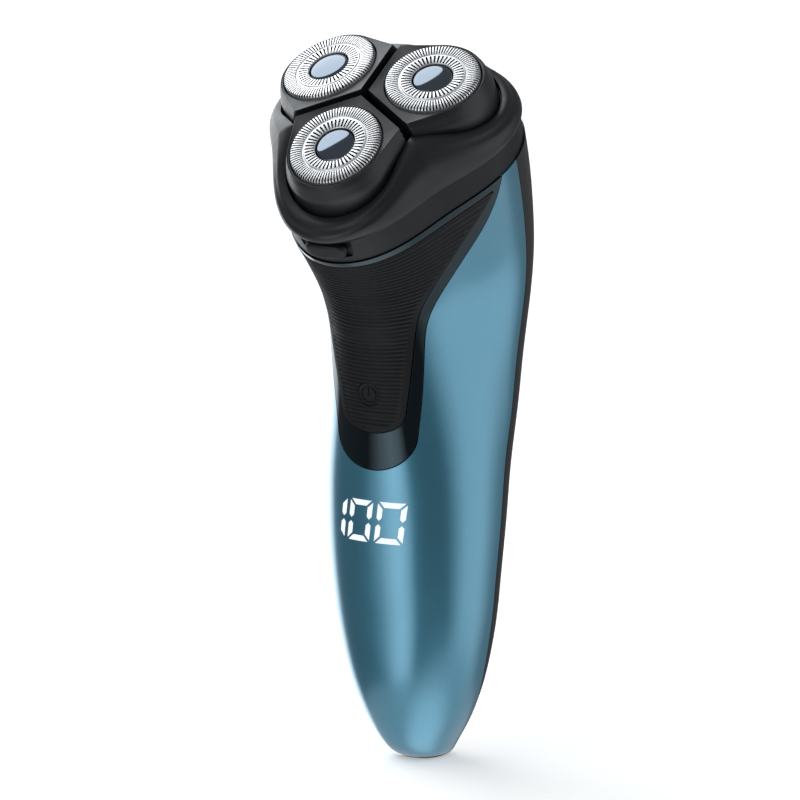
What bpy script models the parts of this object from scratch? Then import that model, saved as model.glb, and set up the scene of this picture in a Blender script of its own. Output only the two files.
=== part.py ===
"""Electric shaver with three floating rotary heads, as an assembly of its separate pieces.

The handle stands on a small flat foot at the origin, +Z runs up the handle and -Y is the front.
The shaving unit leans forward at the top and flips open on a hinge at its rear edge.
"""

import math

import bmesh
import bpy
import numpy as np
from mathutils import Matrix, Vector

MM = 0.001
GAP = 0.3  # clearance between neighbouring pieces, mm

# Handle skin: height, then where its section lies and how large it is (mm and degrees).
# Columns: height, y of the centre, forward lean, half width, front depth, rear depth, three-lobe share, roundness.
STATIONS = (
    (0.0, -1.6, 0, 4.8, 5.2, 4.4, 0.0, 2.25),
    (0.9, -1.9, 0, 6.4, 7.1, 5.0, 0.0, 2.25),
    (4.0, -2.3, 0, 8.6, 10.2, 5.9, 0.0, 2.25),
    (10.0, -2.4, 0, 12.2, 13.2, 7.3, 0.0, 2.25),
    (20.0, -2.5, 0, 15.9, 16.0, 9.6, 0.0, 2.25),
    (38.0, -2.5, 0, 19.4, 18.0, 11.2, 0.0, 2.25),
    (62.0, -0.8, 0, 20.8, 20.7, 13.6, 0.0, 2.25),
    (86.0, 2.0, 3, 20.8, 23.5, 17.2, 0.04, 2.25),
    (110.0, 0.9, 14, 22.1, 24.5, 22.3, 0.11, 2.25),
    (127.0, -5.4, 22, 25.2, 26.6, 25.9, 0.115, 2.15),
    (137.3, -11.1, 32.5, 27.9, 27.9, 27.9, 0.123, 2.0),
)
HANDLE_TOP = 137.3
FOOT_TOP = 0.5
WALL = 2.0

# Angles from the front line of the handle, at heights along it.
PARTING = ((0, 112), (6, 110), (10, 103), (14, 97.5), (20, 94), (32, 91.2), (50, 92), (70, 94), (80, 98),
           (90, 101.5), (100, 105.2), (110, 107.3), (121, 106.5), (138, 103))
BEZEL_SIDE = ((78.5, 26.5), (87.5, 28.8), (98.5, 30.5), (108, 32), (114, 38), (118.5, 50), (123.5, 67),
              (128, 80), (132.5, 87.5), (138, 93))
GRIP_SIDE = ((83.5, 20), (88, 22), (102.5, 26), (111, 28.5), (118.5, 39), (124.5, 57), (130.5, 76), (136, 89))
BEZEL_BOTTOM = 70.0
BEZEL_SHOULDER = 78.5  # where the tongue's round end meets its sides
BEZEL_TURN = 26.5
GRIP_BOTTOM = 79.0
GRIP_SHOULDER = 83.5
GRIP_TURN = 20.0
BAND_HEIGHT = 2.4
BEZEL_CORNER = 92.0
ARM_ROWS = (88, 98, 106, 111, 115, 119, 123, 127, 131, 134.5, HANDLE_TOP)
GRIP_CORNER = 86.5

# Shaving unit
HEAD_CENTRE = (0.0, -22.0, 156.0)  # middle of the three guards
HEAD_LEAN = 32.5
RIM_LEAN = 31.0  # lean of the parting plane between collar and unit
RIM_SHIFT = -0.9
RIM_DEPTH = 15.4
RIM_RADIUS = 28.0
RIM_LOBE = 4.25
BULGE = 0.6  # how far the unit's wall swells above its rim
NECK_SHIFT = -0.85
NECK_DEPTH = 21.6  # from the guards to the top edge of the handle's walls
COLLAR_INSET = 0.4
COLLAR_WALL = 2.4
GUARD_CIRCLE = 15.8
GUARD_SPLAY = 7.5
GUARD_RADIUS = 10.85
DOME_RADIUS = 4.45
BORE_RADIUS = 11.2
LOBE_ANGLES = (-90.0, 30.0, 150.0)
ARM_GAP = 0.9
GUARD_SLOTS = 20
CUTTER_BLADES = 10

# Drive
DECK_TOP = -0.6
DECK_THICK = 1.4
SPINDLE_CIRCLE = 15.1
PINION_TEETH = 14
GEAR_TEETH = 21
GEAR_TOP = -26.8
GEAR_BOTTOM = -28.8
MOTOR_RADIUS = 10.0
MOTOR_TOP = -31.0
MOTOR_LENGTH = 26.0

HINGE_OUT = 25.6  # hinge axis behind the middle of the rim
BUTTON_HEIGHT = 87.4
BUTTON_RADIUS = 2.8


# ---------------------------------------------------------------- scene and materials

for old in list(bpy.data.objects):
    bpy.data.objects.remove(old, do_unlink=True)


def material(name, colour, roughness, metallic=0.0):
    made = bpy.data.materials.new(name)
    made.use_nodes = True
    shader = made.node_tree.nodes["Principled BSDF"]
    shader.inputs["Base Color"].default_value = (*colour, 1.0)
    shader.inputs["Roughness"].default_value = roughness
    shader.inputs["Metallic"].default_value = metallic
    return made


BLUE = material("pearl_blue", (0.10, 0.27, 0.38), 0.28, 0.55)
SATIN = material("satin_black", (0.020, 0.021, 0.023), 0.38)
GLOSS = material("gloss_black", (0.008, 0.010, 0.013), 0.08)
RUBBER = material("grip_rubber", (0.014, 0.014, 0.015), 0.62)
MATTE = material("matte_black", (0.018, 0.018, 0.019), 0.55)
STEEL = material("guard_steel", (0.72, 0.73, 0.75), 0.22, 1.0)
CAP = material("cap_steel", (0.50, 0.58, 0.68), 0.10, 1.0)
BLADE = material("blade_steel", (0.60, 0.61, 0.63), 0.30, 1.0)
NYLON = material("white_nylon", (0.70, 0.70, 0.67), 0.45)
GREY = material("grey_plastic", (0.16, 0.17, 0.18), 0.50)
SEAL = material("seal_rubber", (0.03, 0.03, 0.032), 0.70)
CELL = material("cell_sleeve", (0.05, 0.22, 0.12), 0.35)
BOARD = material("board_green", (0.02, 0.14, 0.07), 0.45)
BRASS = material("brass", (0.75, 0.55, 0.25), 0.30, 1.0)


# ---------------------------------------------------------------- mesh helpers


def build(name, points, faces, look, place=None, smooth=38.0):
    """A mesh object from points in millimetres, in the frame that place gives."""
    mesh = bpy.data.meshes.new(name)
    mesh.from_pydata([Vector(p) * MM for p in points], [], faces)
    shell = bmesh.new()
    shell.from_mesh(mesh)
    bmesh.ops.remove_doubles(shell, verts=shell.verts, dist=2e-7)
    bmesh.ops.recalc_face_normals(shell, faces=shell.faces)
    shell.to_mesh(mesh)
    shell.free()
    mesh.shade_smooth()
    mesh.set_sharp_from_angle(angle=math.radians(smooth))
    mesh.materials.append(look)
    made = bpy.data.objects.new(name, mesh)
    bpy.context.scene.collection.objects.link(made)
    if place is not None:
        made.matrix_world = place
    return made


def loft(rings, loop=False, capped=True):
    """Points and faces of a skin through rings of equal length. A loop joins its last ring to its first."""
    count = len(rings[0])
    points = [p for ring in rings for p in ring]
    faces = []
    rows = len(rings) if loop else len(rings) - 1
    for i in range(rows):
        a = i * count
        b = (i + 1) % len(rings) * count
        for j in range(count):
            k = (j + 1) % count
            faces.append((a + j, a + k, b + k, b + j))
    if capped and not loop:
        faces.append(tuple(reversed(range(count))))
        faces.append(tuple(range((len(rings) - 1) * count, len(rings) * count)))
    return points, faces


def turned(profile, sides, loop=True):
    """A turned solid about Z through (radius, height) points: a loop for a ring, else closed at the axis."""
    angles = [2 * math.pi * j / sides for j in range(sides)]
    rings = [[(r * math.cos(a), r * math.sin(a), z) for a in angles] for r, z in profile]
    if loop:
        return loft(rings, loop=True)
    return loft(rings)


def rod(radius, low, high, sides=20):
    return turned(((radius, low), (radius, high)), sides, loop=False)


def prism(outline, low, high):
    return loft([[(x, y, low) for x, y in outline], [(x, y, high) for x, y in outline]])


def block(low, high):
    (x0, y0, z0), (x1, y1, z1) = low, high
    return prism(((x0, y0), (x1, y0), (x1, y1), (x0, y1)), z0, z1)


def combine(target, other, operation):
    """Joins other to target, or cuts it away; other is left as a hidden guide."""
    other.name = target.name + "_" + operation.lower() + "_guide"
    other.hide_render = True
    other.display_type = "WIRE"
    step = target.modifiers.new(operation.title(), "BOOLEAN")
    step.operation = operation
    step.solver = "EXACT"
    step.object = other


def guide(points, faces, place=None):
    return build("guide", points, faces, GREY, place)


def lean(degrees):
    return Matrix.Rotation(math.radians(degrees), 4, "X")


def shift(x, y, z):
    return Matrix.Translation(Vector((x, y, z)) * MM)


HEAD = shift(*HEAD_CENTRE) @ lean(HEAD_LEAN)
RIM = HEAD @ shift(0, RIM_SHIFT, -RIM_DEPTH) @ lean(RIM_LEAN - HEAD_LEAN)
NECK = HEAD @ shift(0, NECK_SHIFT, -NECK_DEPTH)
SIDEWAYS = Matrix(((0, 0, 1, 0), (1, 0, 0, 0), (0, 1, 0, 0), (0, 0, 0, 1)))  # a prism's outline in YZ, its length along X


def lobe_frame(angle):
    """Frame of one shaving head: X outward, Z along its own axis."""
    turn = Matrix.Rotation(math.radians(angle), 4, "Z")
    splay = Matrix.Rotation(math.radians(GUARD_SPLAY), 4, "Y")
    return HEAD @ turn @ shift(GUARD_CIRCLE, 0, 0) @ splay


# ---------------------------------------------------------------- handle skin


def smooth_table(rows, column):
    """A smooth curve through one column of a table, with no overshoot between its rows."""
    x = np.array([row[0] for row in rows], float)
    y = np.array([row[column] for row in rows], float)
    step = np.diff(x)
    slope = np.diff(y) / step
    tangent = np.empty_like(y)
    tangent[0] = slope[0]
    tangent[-1] = slope[-1]
    for i in range(1, len(x) - 1):
        if slope[i - 1] * slope[i] <= 0:
            tangent[i] = 0.0
            continue
        near = 2 * step[i] + step[i - 1]
        far = step[i] + 2 * step[i - 1]
        tangent[i] = (near + far) / (near / slope[i - 1] + far / slope[i])

    def value(at):
        at = min(max(at, x[0]), x[-1])
        i = min(int(np.searchsorted(x, at, "right")) - 1, len(x) - 2)
        t = (at - x[i]) / step[i]
        rise = y[i] * (1 + 2 * t) * (1 - t) ** 2 + y[i + 1] * t * t * (3 - 2 * t)
        return rise + step[i] * (tangent[i] * t * (1 - t) ** 2 + tangent[i + 1] * t * t * (t - 1))

    return value


SKIN = [smooth_table(STATIONS, column) for column in range(1, 8)]
parting_angle = smooth_table(PARTING, 1)
bezel_angle = smooth_table(BEZEL_SIDE, 1)
grip_angle = smooth_table(GRIP_SIDE, 1)


def three_lobed(angle):
    return math.cos(3 * math.radians(angle))


def skin(turn, height, depth=0.0):
    """Point of the handle's skin at an angle from the front line and a height, at a depth below it.

    Heights from -1 to 0 cover the flat foot, from its middle to its edge.
    """
    inward = 1.0 + min(height, 0.0)
    at = max(height, 0.0)
    y, tilt, half, front, rear, lobe, power = [curve(at) for curve in SKIN]
    across = math.sin(math.radians(turn))
    along = -math.cos(math.radians(turn))
    length = rear if along > 0 else front
    oval = ((abs(across) / half) ** power + (abs(along) / length) ** power) ** (-1 / power)
    reach = (oval * (1 + lobe * three_lobed(turn)) - depth) * inward
    tilt = math.radians(tilt)
    lift = depth * math.exp(-at / 3)
    return (
        reach * across,
        y + reach * along * math.cos(tilt),
        at + lift + reach * along * math.sin(tilt),
    )


def patch(name, cells, look, outer=0.0, inner=WALL):
    """A curved wall over cells of the skin, each cell four (turn, height) corners."""
    index = {}
    corners = []
    faces = []
    for cell in cells:
        face = []
        for turn, height in cell:
            key = tuple(round(v, 4) for v in skin(turn, height))
            if key not in index:
                index[key] = len(corners)
                corners.append((turn, height))
            if index[key] not in face:
                face.append(index[key])
        faces.append(tuple(face))
    count = len(corners)
    points = [skin(*corner, outer) for corner in corners] + [skin(*corner, inner) for corner in corners]
    edges = {}
    for face in faces:
        for a, b in zip(face, face[1:] + face[:1]):
            edges[(a, b)] = edges.get((a, b), 0) + 1
    walls = [(b, a, a + count, b + count) for a, b in edges if (b, a) not in edges]
    inside = [tuple(count + v for v in reversed(face)) for face in faces]
    return build(name, points, faces + inside + walls, look)


def grid(rows):
    """Cells between rows of (turn, height) points."""
    cells = []
    for low, high in zip(rows, rows[1:]):
        for j in range(len(low) - 1):
            cells.append((low[j], low[j + 1], high[j + 1], high[j]))
    return cells


def mirrored(cells):
    return [tuple((-turn, height) for turn, height in reversed(cell)) for cell in cells]


def spread(low, high, count):
    return [low + (high - low) * i / count for i in range(count + 1)]


def gap_turn(height, gap=GAP):
    """The turn in degrees that a gap along the skin takes up."""
    x, y, _ = skin(90, height)
    return math.degrees(gap / abs(x))


def front_shell():
    """Pearl front wall: whole below the bezel's tongue, then an arm up each side of it."""
    notch = BEZEL_SHOULDER
    drop = notch - BEZEL_BOTTOM + GAP
    heights = [(FOOT_TOP + 0.35, 0.0), (2.2, 0.0)]
    heights += [(h, 0.0) for h in spread(4.5, BEZEL_BOTTOM - GAP, 9)]
    side = bezel_angle(notch) + gap_turn(notch)
    for a in (20, 38, 56, 74, 90):
        a = math.radians(a)
        heights.append((notch - drop * math.cos(a), side * math.sin(a)))
    for h in ARM_ROWS:
        heights.append((h, bezel_angle(h) + gap_turn(h)))
    rows = []
    for height, start in heights:
        end = parting_angle(height) - gap_turn(height) / 2
        rows.append([(turn, height) for turn in spread(start, end, 6)])
    cells = grid(rows)
    return patch("front_shell", cells + mirrored(cells), BLUE)


def rear_shell():
    """Satin rear wall with the foot and the charging opening."""
    rows = []
    for height in (0.0, FOOT_TOP):
        edge = parting_angle(height) + gap_turn(height) / 2
        rows.append([(turn, height) for turn in spread(edge, 360 - edge, 12)])
    for height in (2.2, 4.5, 9, 15, 22, 32, 46, 62, 76, *ARM_ROWS):
        edge = parting_angle(height) + gap_turn(height) / 2
        rows.append([(turn, height) for turn in spread(edge, 360 - edge, 12)])
    cells = grid(rows)
    front = []
    for height in (0.0, FOOT_TOP):
        edge = parting_angle(height) + gap_turn(height) / 2
        front.append([(turn, height) for turn in spread(-edge, edge, 6)])
    cells += grid(front)
    rim = front[0] + rows[0][1:]
    hub = (0.0, -1.0)
    for a, b in zip(rim, rim[1:]):
        cells.append((hub, b, a))
    shell = patch("rear_shell", cells, SATIN)
    opening = shift(0, 12, SOCKET_HEIGHT) @ lean(90)
    combine(shell, guide(*rod(SOCKET_RADIUS + GAP, 0, 12, 24), opening), "DIFFERENCE")
    return shell


def bezel_loops():
    """Matching points around the grip's edge and around the bezel's outer edge, right half, bottom to top."""
    inner = []
    outer = []
    for a in spread(0, 90, 5):
        a = math.radians(a)
        inner.append((GRIP_TURN * math.sin(a), GRIP_SHOULDER - (GRIP_SHOULDER - GRIP_BOTTOM) * math.cos(a)))
        outer.append((BEZEL_TURN * math.sin(a), BEZEL_SHOULDER - (BEZEL_SHOULDER - BEZEL_BOTTOM) * math.cos(a)))
    corner_in = band_foot(GRIP_CORNER)
    for t in spread(0, 1, 14)[1:]:
        low = GRIP_SHOULDER + (corner_in - GRIP_SHOULDER) * t
        high = BEZEL_SHOULDER + (HANDLE_TOP - BEZEL_SHOULDER) * t
        inner.append((grip_angle(low) if t < 1 else GRIP_CORNER, low))
        outer.append((bezel_angle(high) if t < 1 else BEZEL_CORNER, high))
    for t in spread(1, 0, 8)[1:]:
        inner.append((GRIP_CORNER * t, band_foot(GRIP_CORNER * t)))
        outer.append((BEZEL_CORNER * t, HANDLE_TOP))
    return inner, outer


def band_foot(turn):
    """Height of the bezel's edge above the grip; the band narrows towards the sides."""
    return HANDLE_TOP - BAND_HEIGHT * (1 - 0.3 * (turn / GRIP_CORNER) ** 2)


def panel_bezel():
    """Gloss frame around the grip: band above it, strips beside it and a tongue below."""
    inner, outer = bezel_loops()
    rows = []
    for (a, h), (b, k) in zip(inner, outer):
        rows.append([(a + (b - a) * t, h + (k - h) * t) for t in (0, 0.5, 1)])
    cells = grid(rows)
    return patch("panel_bezel", cells + mirrored(cells), GLOSS, 0.0, 1.7)


def grip_panel():
    """Rubber grip inside the bezel, with an opening for the power button."""
    inner, _ = bezel_loops()
    top_row = [(t * (GRIP_CORNER - 1.2), band_foot(t * GRIP_CORNER) - GAP) for t in spread(0, 1, 7)]
    rows = []
    for a in (0, 25, 45, 65, 90):
        a = math.radians(a)
        edge = (GRIP_TURN - gap_turn(GRIP_SHOULDER)) * math.sin(a)
        height = GRIP_SHOULDER - (GRIP_SHOULDER - GRIP_BOTTOM - GAP) * math.cos(a)
        rows.append([(edge * t, height) for t in spread(0, 1, 7)])
    for height in (88, 95, 103, 109, 114, 118.5, 122.5, 126.5, 130.5):
        edge = grip_angle(height) - gap_turn(height)
        rise = max(0.0, (height - 105) / (top_row[-1][1] - 105)) ** 1.5
        sag = [top_row[j][1] - top_row[-1][1] for j in range(8)]
        rows.append([(edge * t, height + rise * sag[j]) for j, t in enumerate(spread(0, 1, 7))])
    rows.append(top_row)
    cells = grid(rows)
    panel = patch("grip_panel", cells + mirrored(cells), RUBBER, -0.15, 1.6)
    combine(panel, guide(*rod(BUTTON_RADIUS + GAP, -4, 4, 32), BUTTON), "DIFFERENCE")
    return panel


def collar_ring(turns, inset):
    """Ring under the parting plane, at an inset from the unit's rim."""
    ring = []
    for turn in turns:
        reach = rim_radius(turn) - inset
        a = math.radians(turn)
        ring.append(RIM @ (Vector((reach * math.sin(a), -reach * math.cos(a), -GAP / 2)) * MM) / MM)
    return ring


def neck_ring(turns, depth):
    """Ring just above the top edge of the handle's walls, at a depth below the skin."""
    rise = HEAD.to_3x3() @ Vector((0, 0, GAP))
    return [Vector(skin(turn, HANDLE_TOP, depth)) + rise for turn in turns]


def neck_collar():
    """Matte neck between the handle's walls and the unit, notched at the front for the release."""
    turns = [360 * j / 48 for j in range(48)]
    inner = COLLAR_INSET + COLLAR_WALL
    tongue = HANDLE_TOP - 6
    rings = [
        neck_ring(turns, COLLAR_INSET),
        collar_ring(turns, COLLAR_INSET),
        collar_ring(turns, inner),
        neck_ring(turns, 3.9),
        [skin(turn, tongue, 3.9) for turn in turns],
        [skin(turn, tongue, 2.35) for turn in turns],
        neck_ring(turns, 2.35),
    ]
    collar = build("neck_collar", *loft(rings, loop=True), MATTE)
    notch = ((-5.6, -2.3), (5.6, -2.3), (6.4, -0.6), (6.9, 4.0), (-6.9, 4.0), (-6.4, -0.6))
    combine(collar, guide(*prism(notch, -1.7, 4.0), RELEASE @ UPRIGHT), "DIFFERENCE")
    combine(collar, guide(*block((-2.4, -1.5, -1.5), (2.4, 8.5, 0.3)), RELEASE), "DIFFERENCE")
    combine(collar, knuckle_solid(-3.6, 3.6, -1), "UNION")
    combine(collar, guide(*rod(HINGE_BORE, -9, 9), HINGE), "DIFFERENCE")
    return collar


# ---------------------------------------------------------------- buttons

BUTTON_FACE = skin(0, 88.9)
BUTTON = shift(0, BUTTON_FACE[1], BUTTON_HEIGHT) @ lean(90 + 8)  # +Z out of the grip
RELEASE = HEAD @ shift(0, -32.3, -17.4)  # on the collar's front, +Y into the handle
UPRIGHT = lean(90)  # stands an outline up, its Z out of the handle


def power_button():
    """Round button that travels inward, with a stem to the switch."""
    profile = ((0.0, -4.6), (1.1, -4.6), (1.1, -1.5), (BUTTON_RADIUS, -1.5), (BUTTON_RADIUS, -0.15),
               (BUTTON_RADIUS - 0.3, 0.02), (2.0, -0.25), (0.0, -0.3))
    return build("power_button", *turned(profile, 32, loop=False), RUBBER, BUTTON)


def release_button():
    """Thumb tab in the front of the collar, with a stem through it."""
    rows = []
    for y, half, low, high in ((-0.95, 4.6, -1.2, 1.4), (-0.6, 5.2, -1.9, 2.0), (0.5, 5.2, -1.9, 2.0)):
        ring = []
        for a in spread(0, 360, 24)[:-1]:
            c = math.cos(math.radians(a))
            s = math.sin(math.radians(a))
            x = half * math.copysign(abs(c) ** 0.6, c)
            z = math.copysign(abs(s) ** 0.7, s) * (high if s > 0 else -low)
            ring.append((x, y + 0.016 * x * x, z))
        rows.append(ring)
    tab = build("release_button", *loft(rows), MATTE, RELEASE)
    combine(tab, guide(*block((-1.9, 0.2, -1.2), (1.9, 3.2, 0.0)), RELEASE), "UNION")
    return tab


def release_spring():
    """Bent leaf behind the collar that pushes the release back out."""
    line = ((-4.8, 4.2), (-3.5, 4.1), (-2.4, 4.8), (2.4, 4.8), (3.5, 4.1), (4.8, 4.2))
    back = [(x, y + 0.35) for x, y in reversed(line)]
    return build("release_spring", *prism(line + tuple(back), -1.2, 0.0), BLADE, RELEASE)


# ---------------------------------------------------------------- shaving unit

PETAL_BOTTOM = -9.6
BASE_TOP = -13.3
BASE_THICK = 1.1
OPENING_MIDDLE = 14.7
OPENING_RADIUS = 14.2
BOWL_WIDEST = 0.3  # share of the wall's height at which it is widest
OPENING_CORNER = 17.7


def rim_radius(turn):
    return RIM_RADIUS + RIM_LOBE * three_lobed(turn)


def rim_level(turn):
    """Height of the parting plane at the rim, in the head frame; turn is from the front."""
    v = -rim_radius(turn) * math.cos(math.radians(turn))
    return -RIM_DEPTH - math.tan(math.radians(HEAD_LEAN - RIM_LEAN)) * v


def opening_radius(turn):
    """Reach of the three-leaved opening: round about each head, and straight to the corner between two."""
    off = abs((turn + 60) % 120 - 60)
    d = math.radians(off)
    tangent = math.acos(OPENING_RADIUS / math.hypot(
        OPENING_CORNER * 0.5 - OPENING_MIDDLE, OPENING_CORNER * math.sin(math.pi / 3)))
    corner = Vector((OPENING_CORNER * 0.5, OPENING_CORNER * math.sin(math.pi / 3)))
    lead = corner - Vector((OPENING_MIDDLE, 0))
    bearing = math.atan2(lead.y, lead.x) - tangent
    touch = Vector((OPENING_MIDDLE + OPENING_RADIUS * math.cos(bearing), OPENING_RADIUS * math.sin(bearing)))
    if d < math.atan2(touch.y, touch.x):
        inside = OPENING_RADIUS**2 - (OPENING_MIDDLE * math.sin(d)) ** 2
        return OPENING_MIDDLE * math.cos(d) + math.sqrt(inside)
    run = corner - touch
    return (touch.x * run.y - touch.y * run.x) / (math.cos(d) * run.y - math.sin(d) * run.x)


def opening_level(radius):
    return -2.7 - (radius - OPENING_CORNER) * 0.69


def head_ring(turns, level):
    """Ring in the head frame; level gives its reach, height and forward shift for a turn from the front."""
    ring = []
    for turn in turns:
        reach, height, offset = level(turn)
        a = math.radians(turn)
        ring.append((reach * math.sin(a), offset - reach * math.cos(a), height))
    return ring


def head_shell():
    """Rounded three-cornered cover with one opening for the three heads, and two hinge knuckles."""
    turns = [360 * j / 60 for j in range(60)]

    def foot(turn):
        return rim_level(turn) + GAP / 2

    def rim(share, inset):
        def level(turn):
            rise = BOWL_WIDEST * (opening_level(opening_radius(turn)) - foot(turn))
            swell = BULGE * math.sin(math.radians(90 * share))
            return rim_radius(turn) + swell - inset, foot(turn) + rise * share, RIM_SHIFT
        return level

    def bowl(share, inset):
        def level(turn):
            inner = opening_radius(turn)
            top = opening_level(inner) - inset
            low = foot(turn) + BOWL_WIDEST * (opening_level(inner) - foot(turn))
            wall = rim_radius(turn) + BULGE - inset
            c = math.cos(math.radians(90 * share)) ** 0.9
            s = math.sin(math.radians(90 * share)) ** 0.9
            return inner + (wall - inner) * c, low + (top - low) * s, RIM_SHIFT * c
        return level

    levels = [rim(0, 0.0), rim(0.5, 0.0)] + [bowl(share, 0.0) for share in (0, 0.2, 0.4, 0.6, 0.8, 1)]
    levels += [bowl(share, 1.5) for share in (1, 0.5, 0)] + [rim(0, 1.6)]
    rings = [head_ring(turns, level) for level in levels]
    shell = build("head_shell", *loft(rings, loop=True), SATIN, HEAD)
    for low, high in ((4.0, 7.2), (-7.2, -4.0)):
        combine(shell, knuckle_solid(low, high, 1), "UNION")
    combine(shell, guide(*rod(HINGE_BORE, -9, 9), HINGE), "DIFFERENCE")
    return shell


def head_base():
    """Plate across the unit that carries the three heads, with the catch for the release at its front."""
    turns = [360 * j / 48 for j in range(48)]
    outline = [p[:2] for p in head_ring(turns, lambda turn: (rim_radius(turn) - 2.3, 0, RIM_SHIFT))]
    plate = build("head_base", *prism(outline, BASE_TOP - BASE_THICK, BASE_TOP), GREY, HEAD)
    for angle in LOBE_ANGLES:
        a = math.radians(angle)
        hole = shift(SPINDLE_CIRCLE * math.cos(a), SPINDLE_CIRCLE * math.sin(a), 0)
        combine(plate, guide(*rod(7.2, -20, -8, 28), HEAD @ hole), "DIFFERENCE")
    combine(plate, guide(*rod(1.7, -20, -8), HEAD), "DIFFERENCE")
    return plate


def head_catch():
    """Hook under the front of the base that the release holds."""
    outline = ((-26.0, -14.7), (-24.6, -14.7), (-24.6, -18.8), (-26.6, -18.8), (-26.6, -18.0), (-26.0, -17.6))
    return build("head_catch", *prism(outline, -2.2, 2.2), GREY, HEAD @ SIDEWAYS)


def lock_knob():
    """Quarter-turn knob under the middle of the base that releases the cutters for cleaning."""
    profile = ((0.0, -17.4), (3.2, -17.4), (4.8, -17.0), (5.0, -15.6), (1.4, -15.6), (1.4, -13.6), (0.0, -13.6))
    knob = build("lock_knob", *turned(profile, 28, loop=False), NYLON, HEAD)
    for x in (-3.9, 1.5):
        scoop = guide(*block((x, -3, -18.5), (x + 2.4, 3, -16.5)), HEAD)
        combine(knob, scoop, "DIFFERENCE")
    return knob


petal_arc = smooth_table(((0.8, 11.75), (1.9, 12.3), (4.5, 13.25), (9.6, 13.7)), 1)


def petal_radius(turn, level):
    """Outline of a petal about its head's axis: round outside, with two straight sides towards the middle."""
    depth = -level
    arc = petal_arc(-level)
    arm = (GUARD_CIRCLE - ARM_GAP / math.sin(math.pi / 3)) * math.sin(math.pi / 3) - 0.125 * depth
    turn = abs(turn)
    reach = arc if turn <= 76.5 else arc / max(0.05, math.cos(math.radians(turn - 76.5)))
    if turn > 61:
        reach = min(reach, arm / math.cos(math.radians(turn - 150)))
    return reach


def petal(number, frame):
    turns = spread(-180, 180, 40)[:-1]

    def outline(level, inset):
        ring = []
        for turn in turns:
            reach = petal_radius(turn, level) - inset
            ring.append((reach * math.cos(math.radians(turn)), reach * math.sin(math.radians(turn)), level))
        return ring

    def bore(radius, level):
        return [(radius * math.cos(math.radians(t)), radius * math.sin(math.radians(t)), level) for t in turns]

    rings = [bore(BORE_RADIUS, PETAL_BOTTOM), bore(BORE_RADIUS, -1.0), outline(-0.8, 0.0), outline(-1.9, 0.0),
             outline(-4.5, 0.0), outline(PETAL_BOTTOM, 0.0)]
    return build(f"petal_{number}", *loft(rings, loop=True), SATIN, frame)


def retainer(number, frame):
    profile = ((6.4, -6.6), (10.9, -6.6), (10.9, -5.8), (6.4, -5.8))
    return build(f"retainer_{number}", *turned(profile, 32), GREY, frame)


def guard(number, frame):
    """Steel cup whose face is cut by two rings of slots."""
    steps = GUARD_SLOTS * 2
    skirt = -3.0
    # radius, outer height and inner height of each ring of the wall
    wall = ((DOME_RADIUS + 0.3, -0.25, -0.75), (5.3, -0.05, -0.7), (7.3, 0.0, -0.65), (7.9, -0.2, -0.75),
            (9.9, -0.05, -0.7), (GUARD_RADIUS, -0.7, -1.1), (GUARD_RADIUS, skirt, skirt))
    slotted = (1, 3)
    points = []
    for radius, high, low in wall:
        for j in range(steps):
            a = 2 * math.pi * (j + (0.18 if j % 2 else -0.18)) / steps
            points.append((radius * math.cos(a), radius * math.sin(a), high))
    count = len(points)
    for i, (radius, high, low) in enumerate(wall):
        inner = radius if i < 4 else radius - 0.45
        for j in range(steps):
            a = 2 * math.pi * (j + (0.18 if j % 2 else -0.18)) / steps
            points.append((inner * math.cos(a), inner * math.sin(a), low))
    faces = []
    edges = set()
    for i in range(len(wall) - 1):
        for j in range(steps):
            if i in slotted and j % 2 == 0:
                continue
            k = (j + 1) % steps
            face = (i * steps + j, (i + 1) * steps + j, (i + 1) * steps + k, i * steps + k)
            faces.append(face)
            edges.update(zip(face, face[1:] + face[:1]))
    walls = [(b, a, a + count, b + count) for a, b in edges if (b, a) not in edges]
    inside = [tuple(count + v for v in reversed(face)) for face in faces]
    return build(f"guard_{number}", points, faces + inside + sorted(walls), STEEL, frame, 30)


def guard_dome(number, frame):
    profile = [(DOME_RADIUS * math.cos(math.radians(a)), -0.6 + 0.75 * math.sin(math.radians(a)))
               for a in (0, 20, 40, 60, 78)]
    profile = [(0.0, -1.25), (DOME_RADIUS, -1.25)] + profile + [(0.0, 0.15)]
    return build(f"guard_dome_{number}", *turned(profile, 32, loop=False), CAP, frame)


def cutter(number, frame):
    """Rotary cutter: a ring of upright blades on a disc, with a socket for its spindle."""
    hub = ((0.0, -3.4), (2.1, -3.4), (2.1, -5.7), (2.9, -5.7), (2.9, -3.6), (9.9, -3.6), (9.9, -2.9), (0.0, -2.9))
    body = build(f"cutter_{number}", *turned(hub, 32, loop=False), BLADE, frame)
    blades = []
    faces = []
    for k in range(CUTTER_BLADES):
        turn = Matrix.Rotation(2 * math.pi * k / CUTTER_BLADES, 3, "Z")
        points, sides = block((5.6, -0.35, -3.2), (9.7, 0.35, -1.45))
        faces += [tuple(len(blades) + v for v in side) for side in sides]
        blades += [turn @ Vector(p) for p in points]
    combine(body, guide(blades, faces, frame), "UNION")
    return body


# ---------------------------------------------------------------- hinge

HINGE = RIM @ shift(0, HINGE_OUT, 0) @ Matrix.Rotation(math.radians(90), 4, "Y")  # Z along the axis
HINGE_BORE = 0.8
KNUCKLE = 1.35


def knuckle_solid(low, high, side):
    """Barrel about the hinge axis with a web to the wall, above the parting plane or below it."""
    outline = [(KNUCKLE * math.cos(math.radians(a)), side * KNUCKLE * math.sin(math.radians(a)))
               for a in spread(-180, 90, 12)]
    outline += [(-2.9, side * KNUCKLE), (-2.9, side * 0.35)]
    if side < 0:
        outline = outline[::-1]
    return guide(*prism(outline, low, high), RIM @ shift(0, HINGE_OUT, 0) @ SIDEWAYS)


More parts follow.
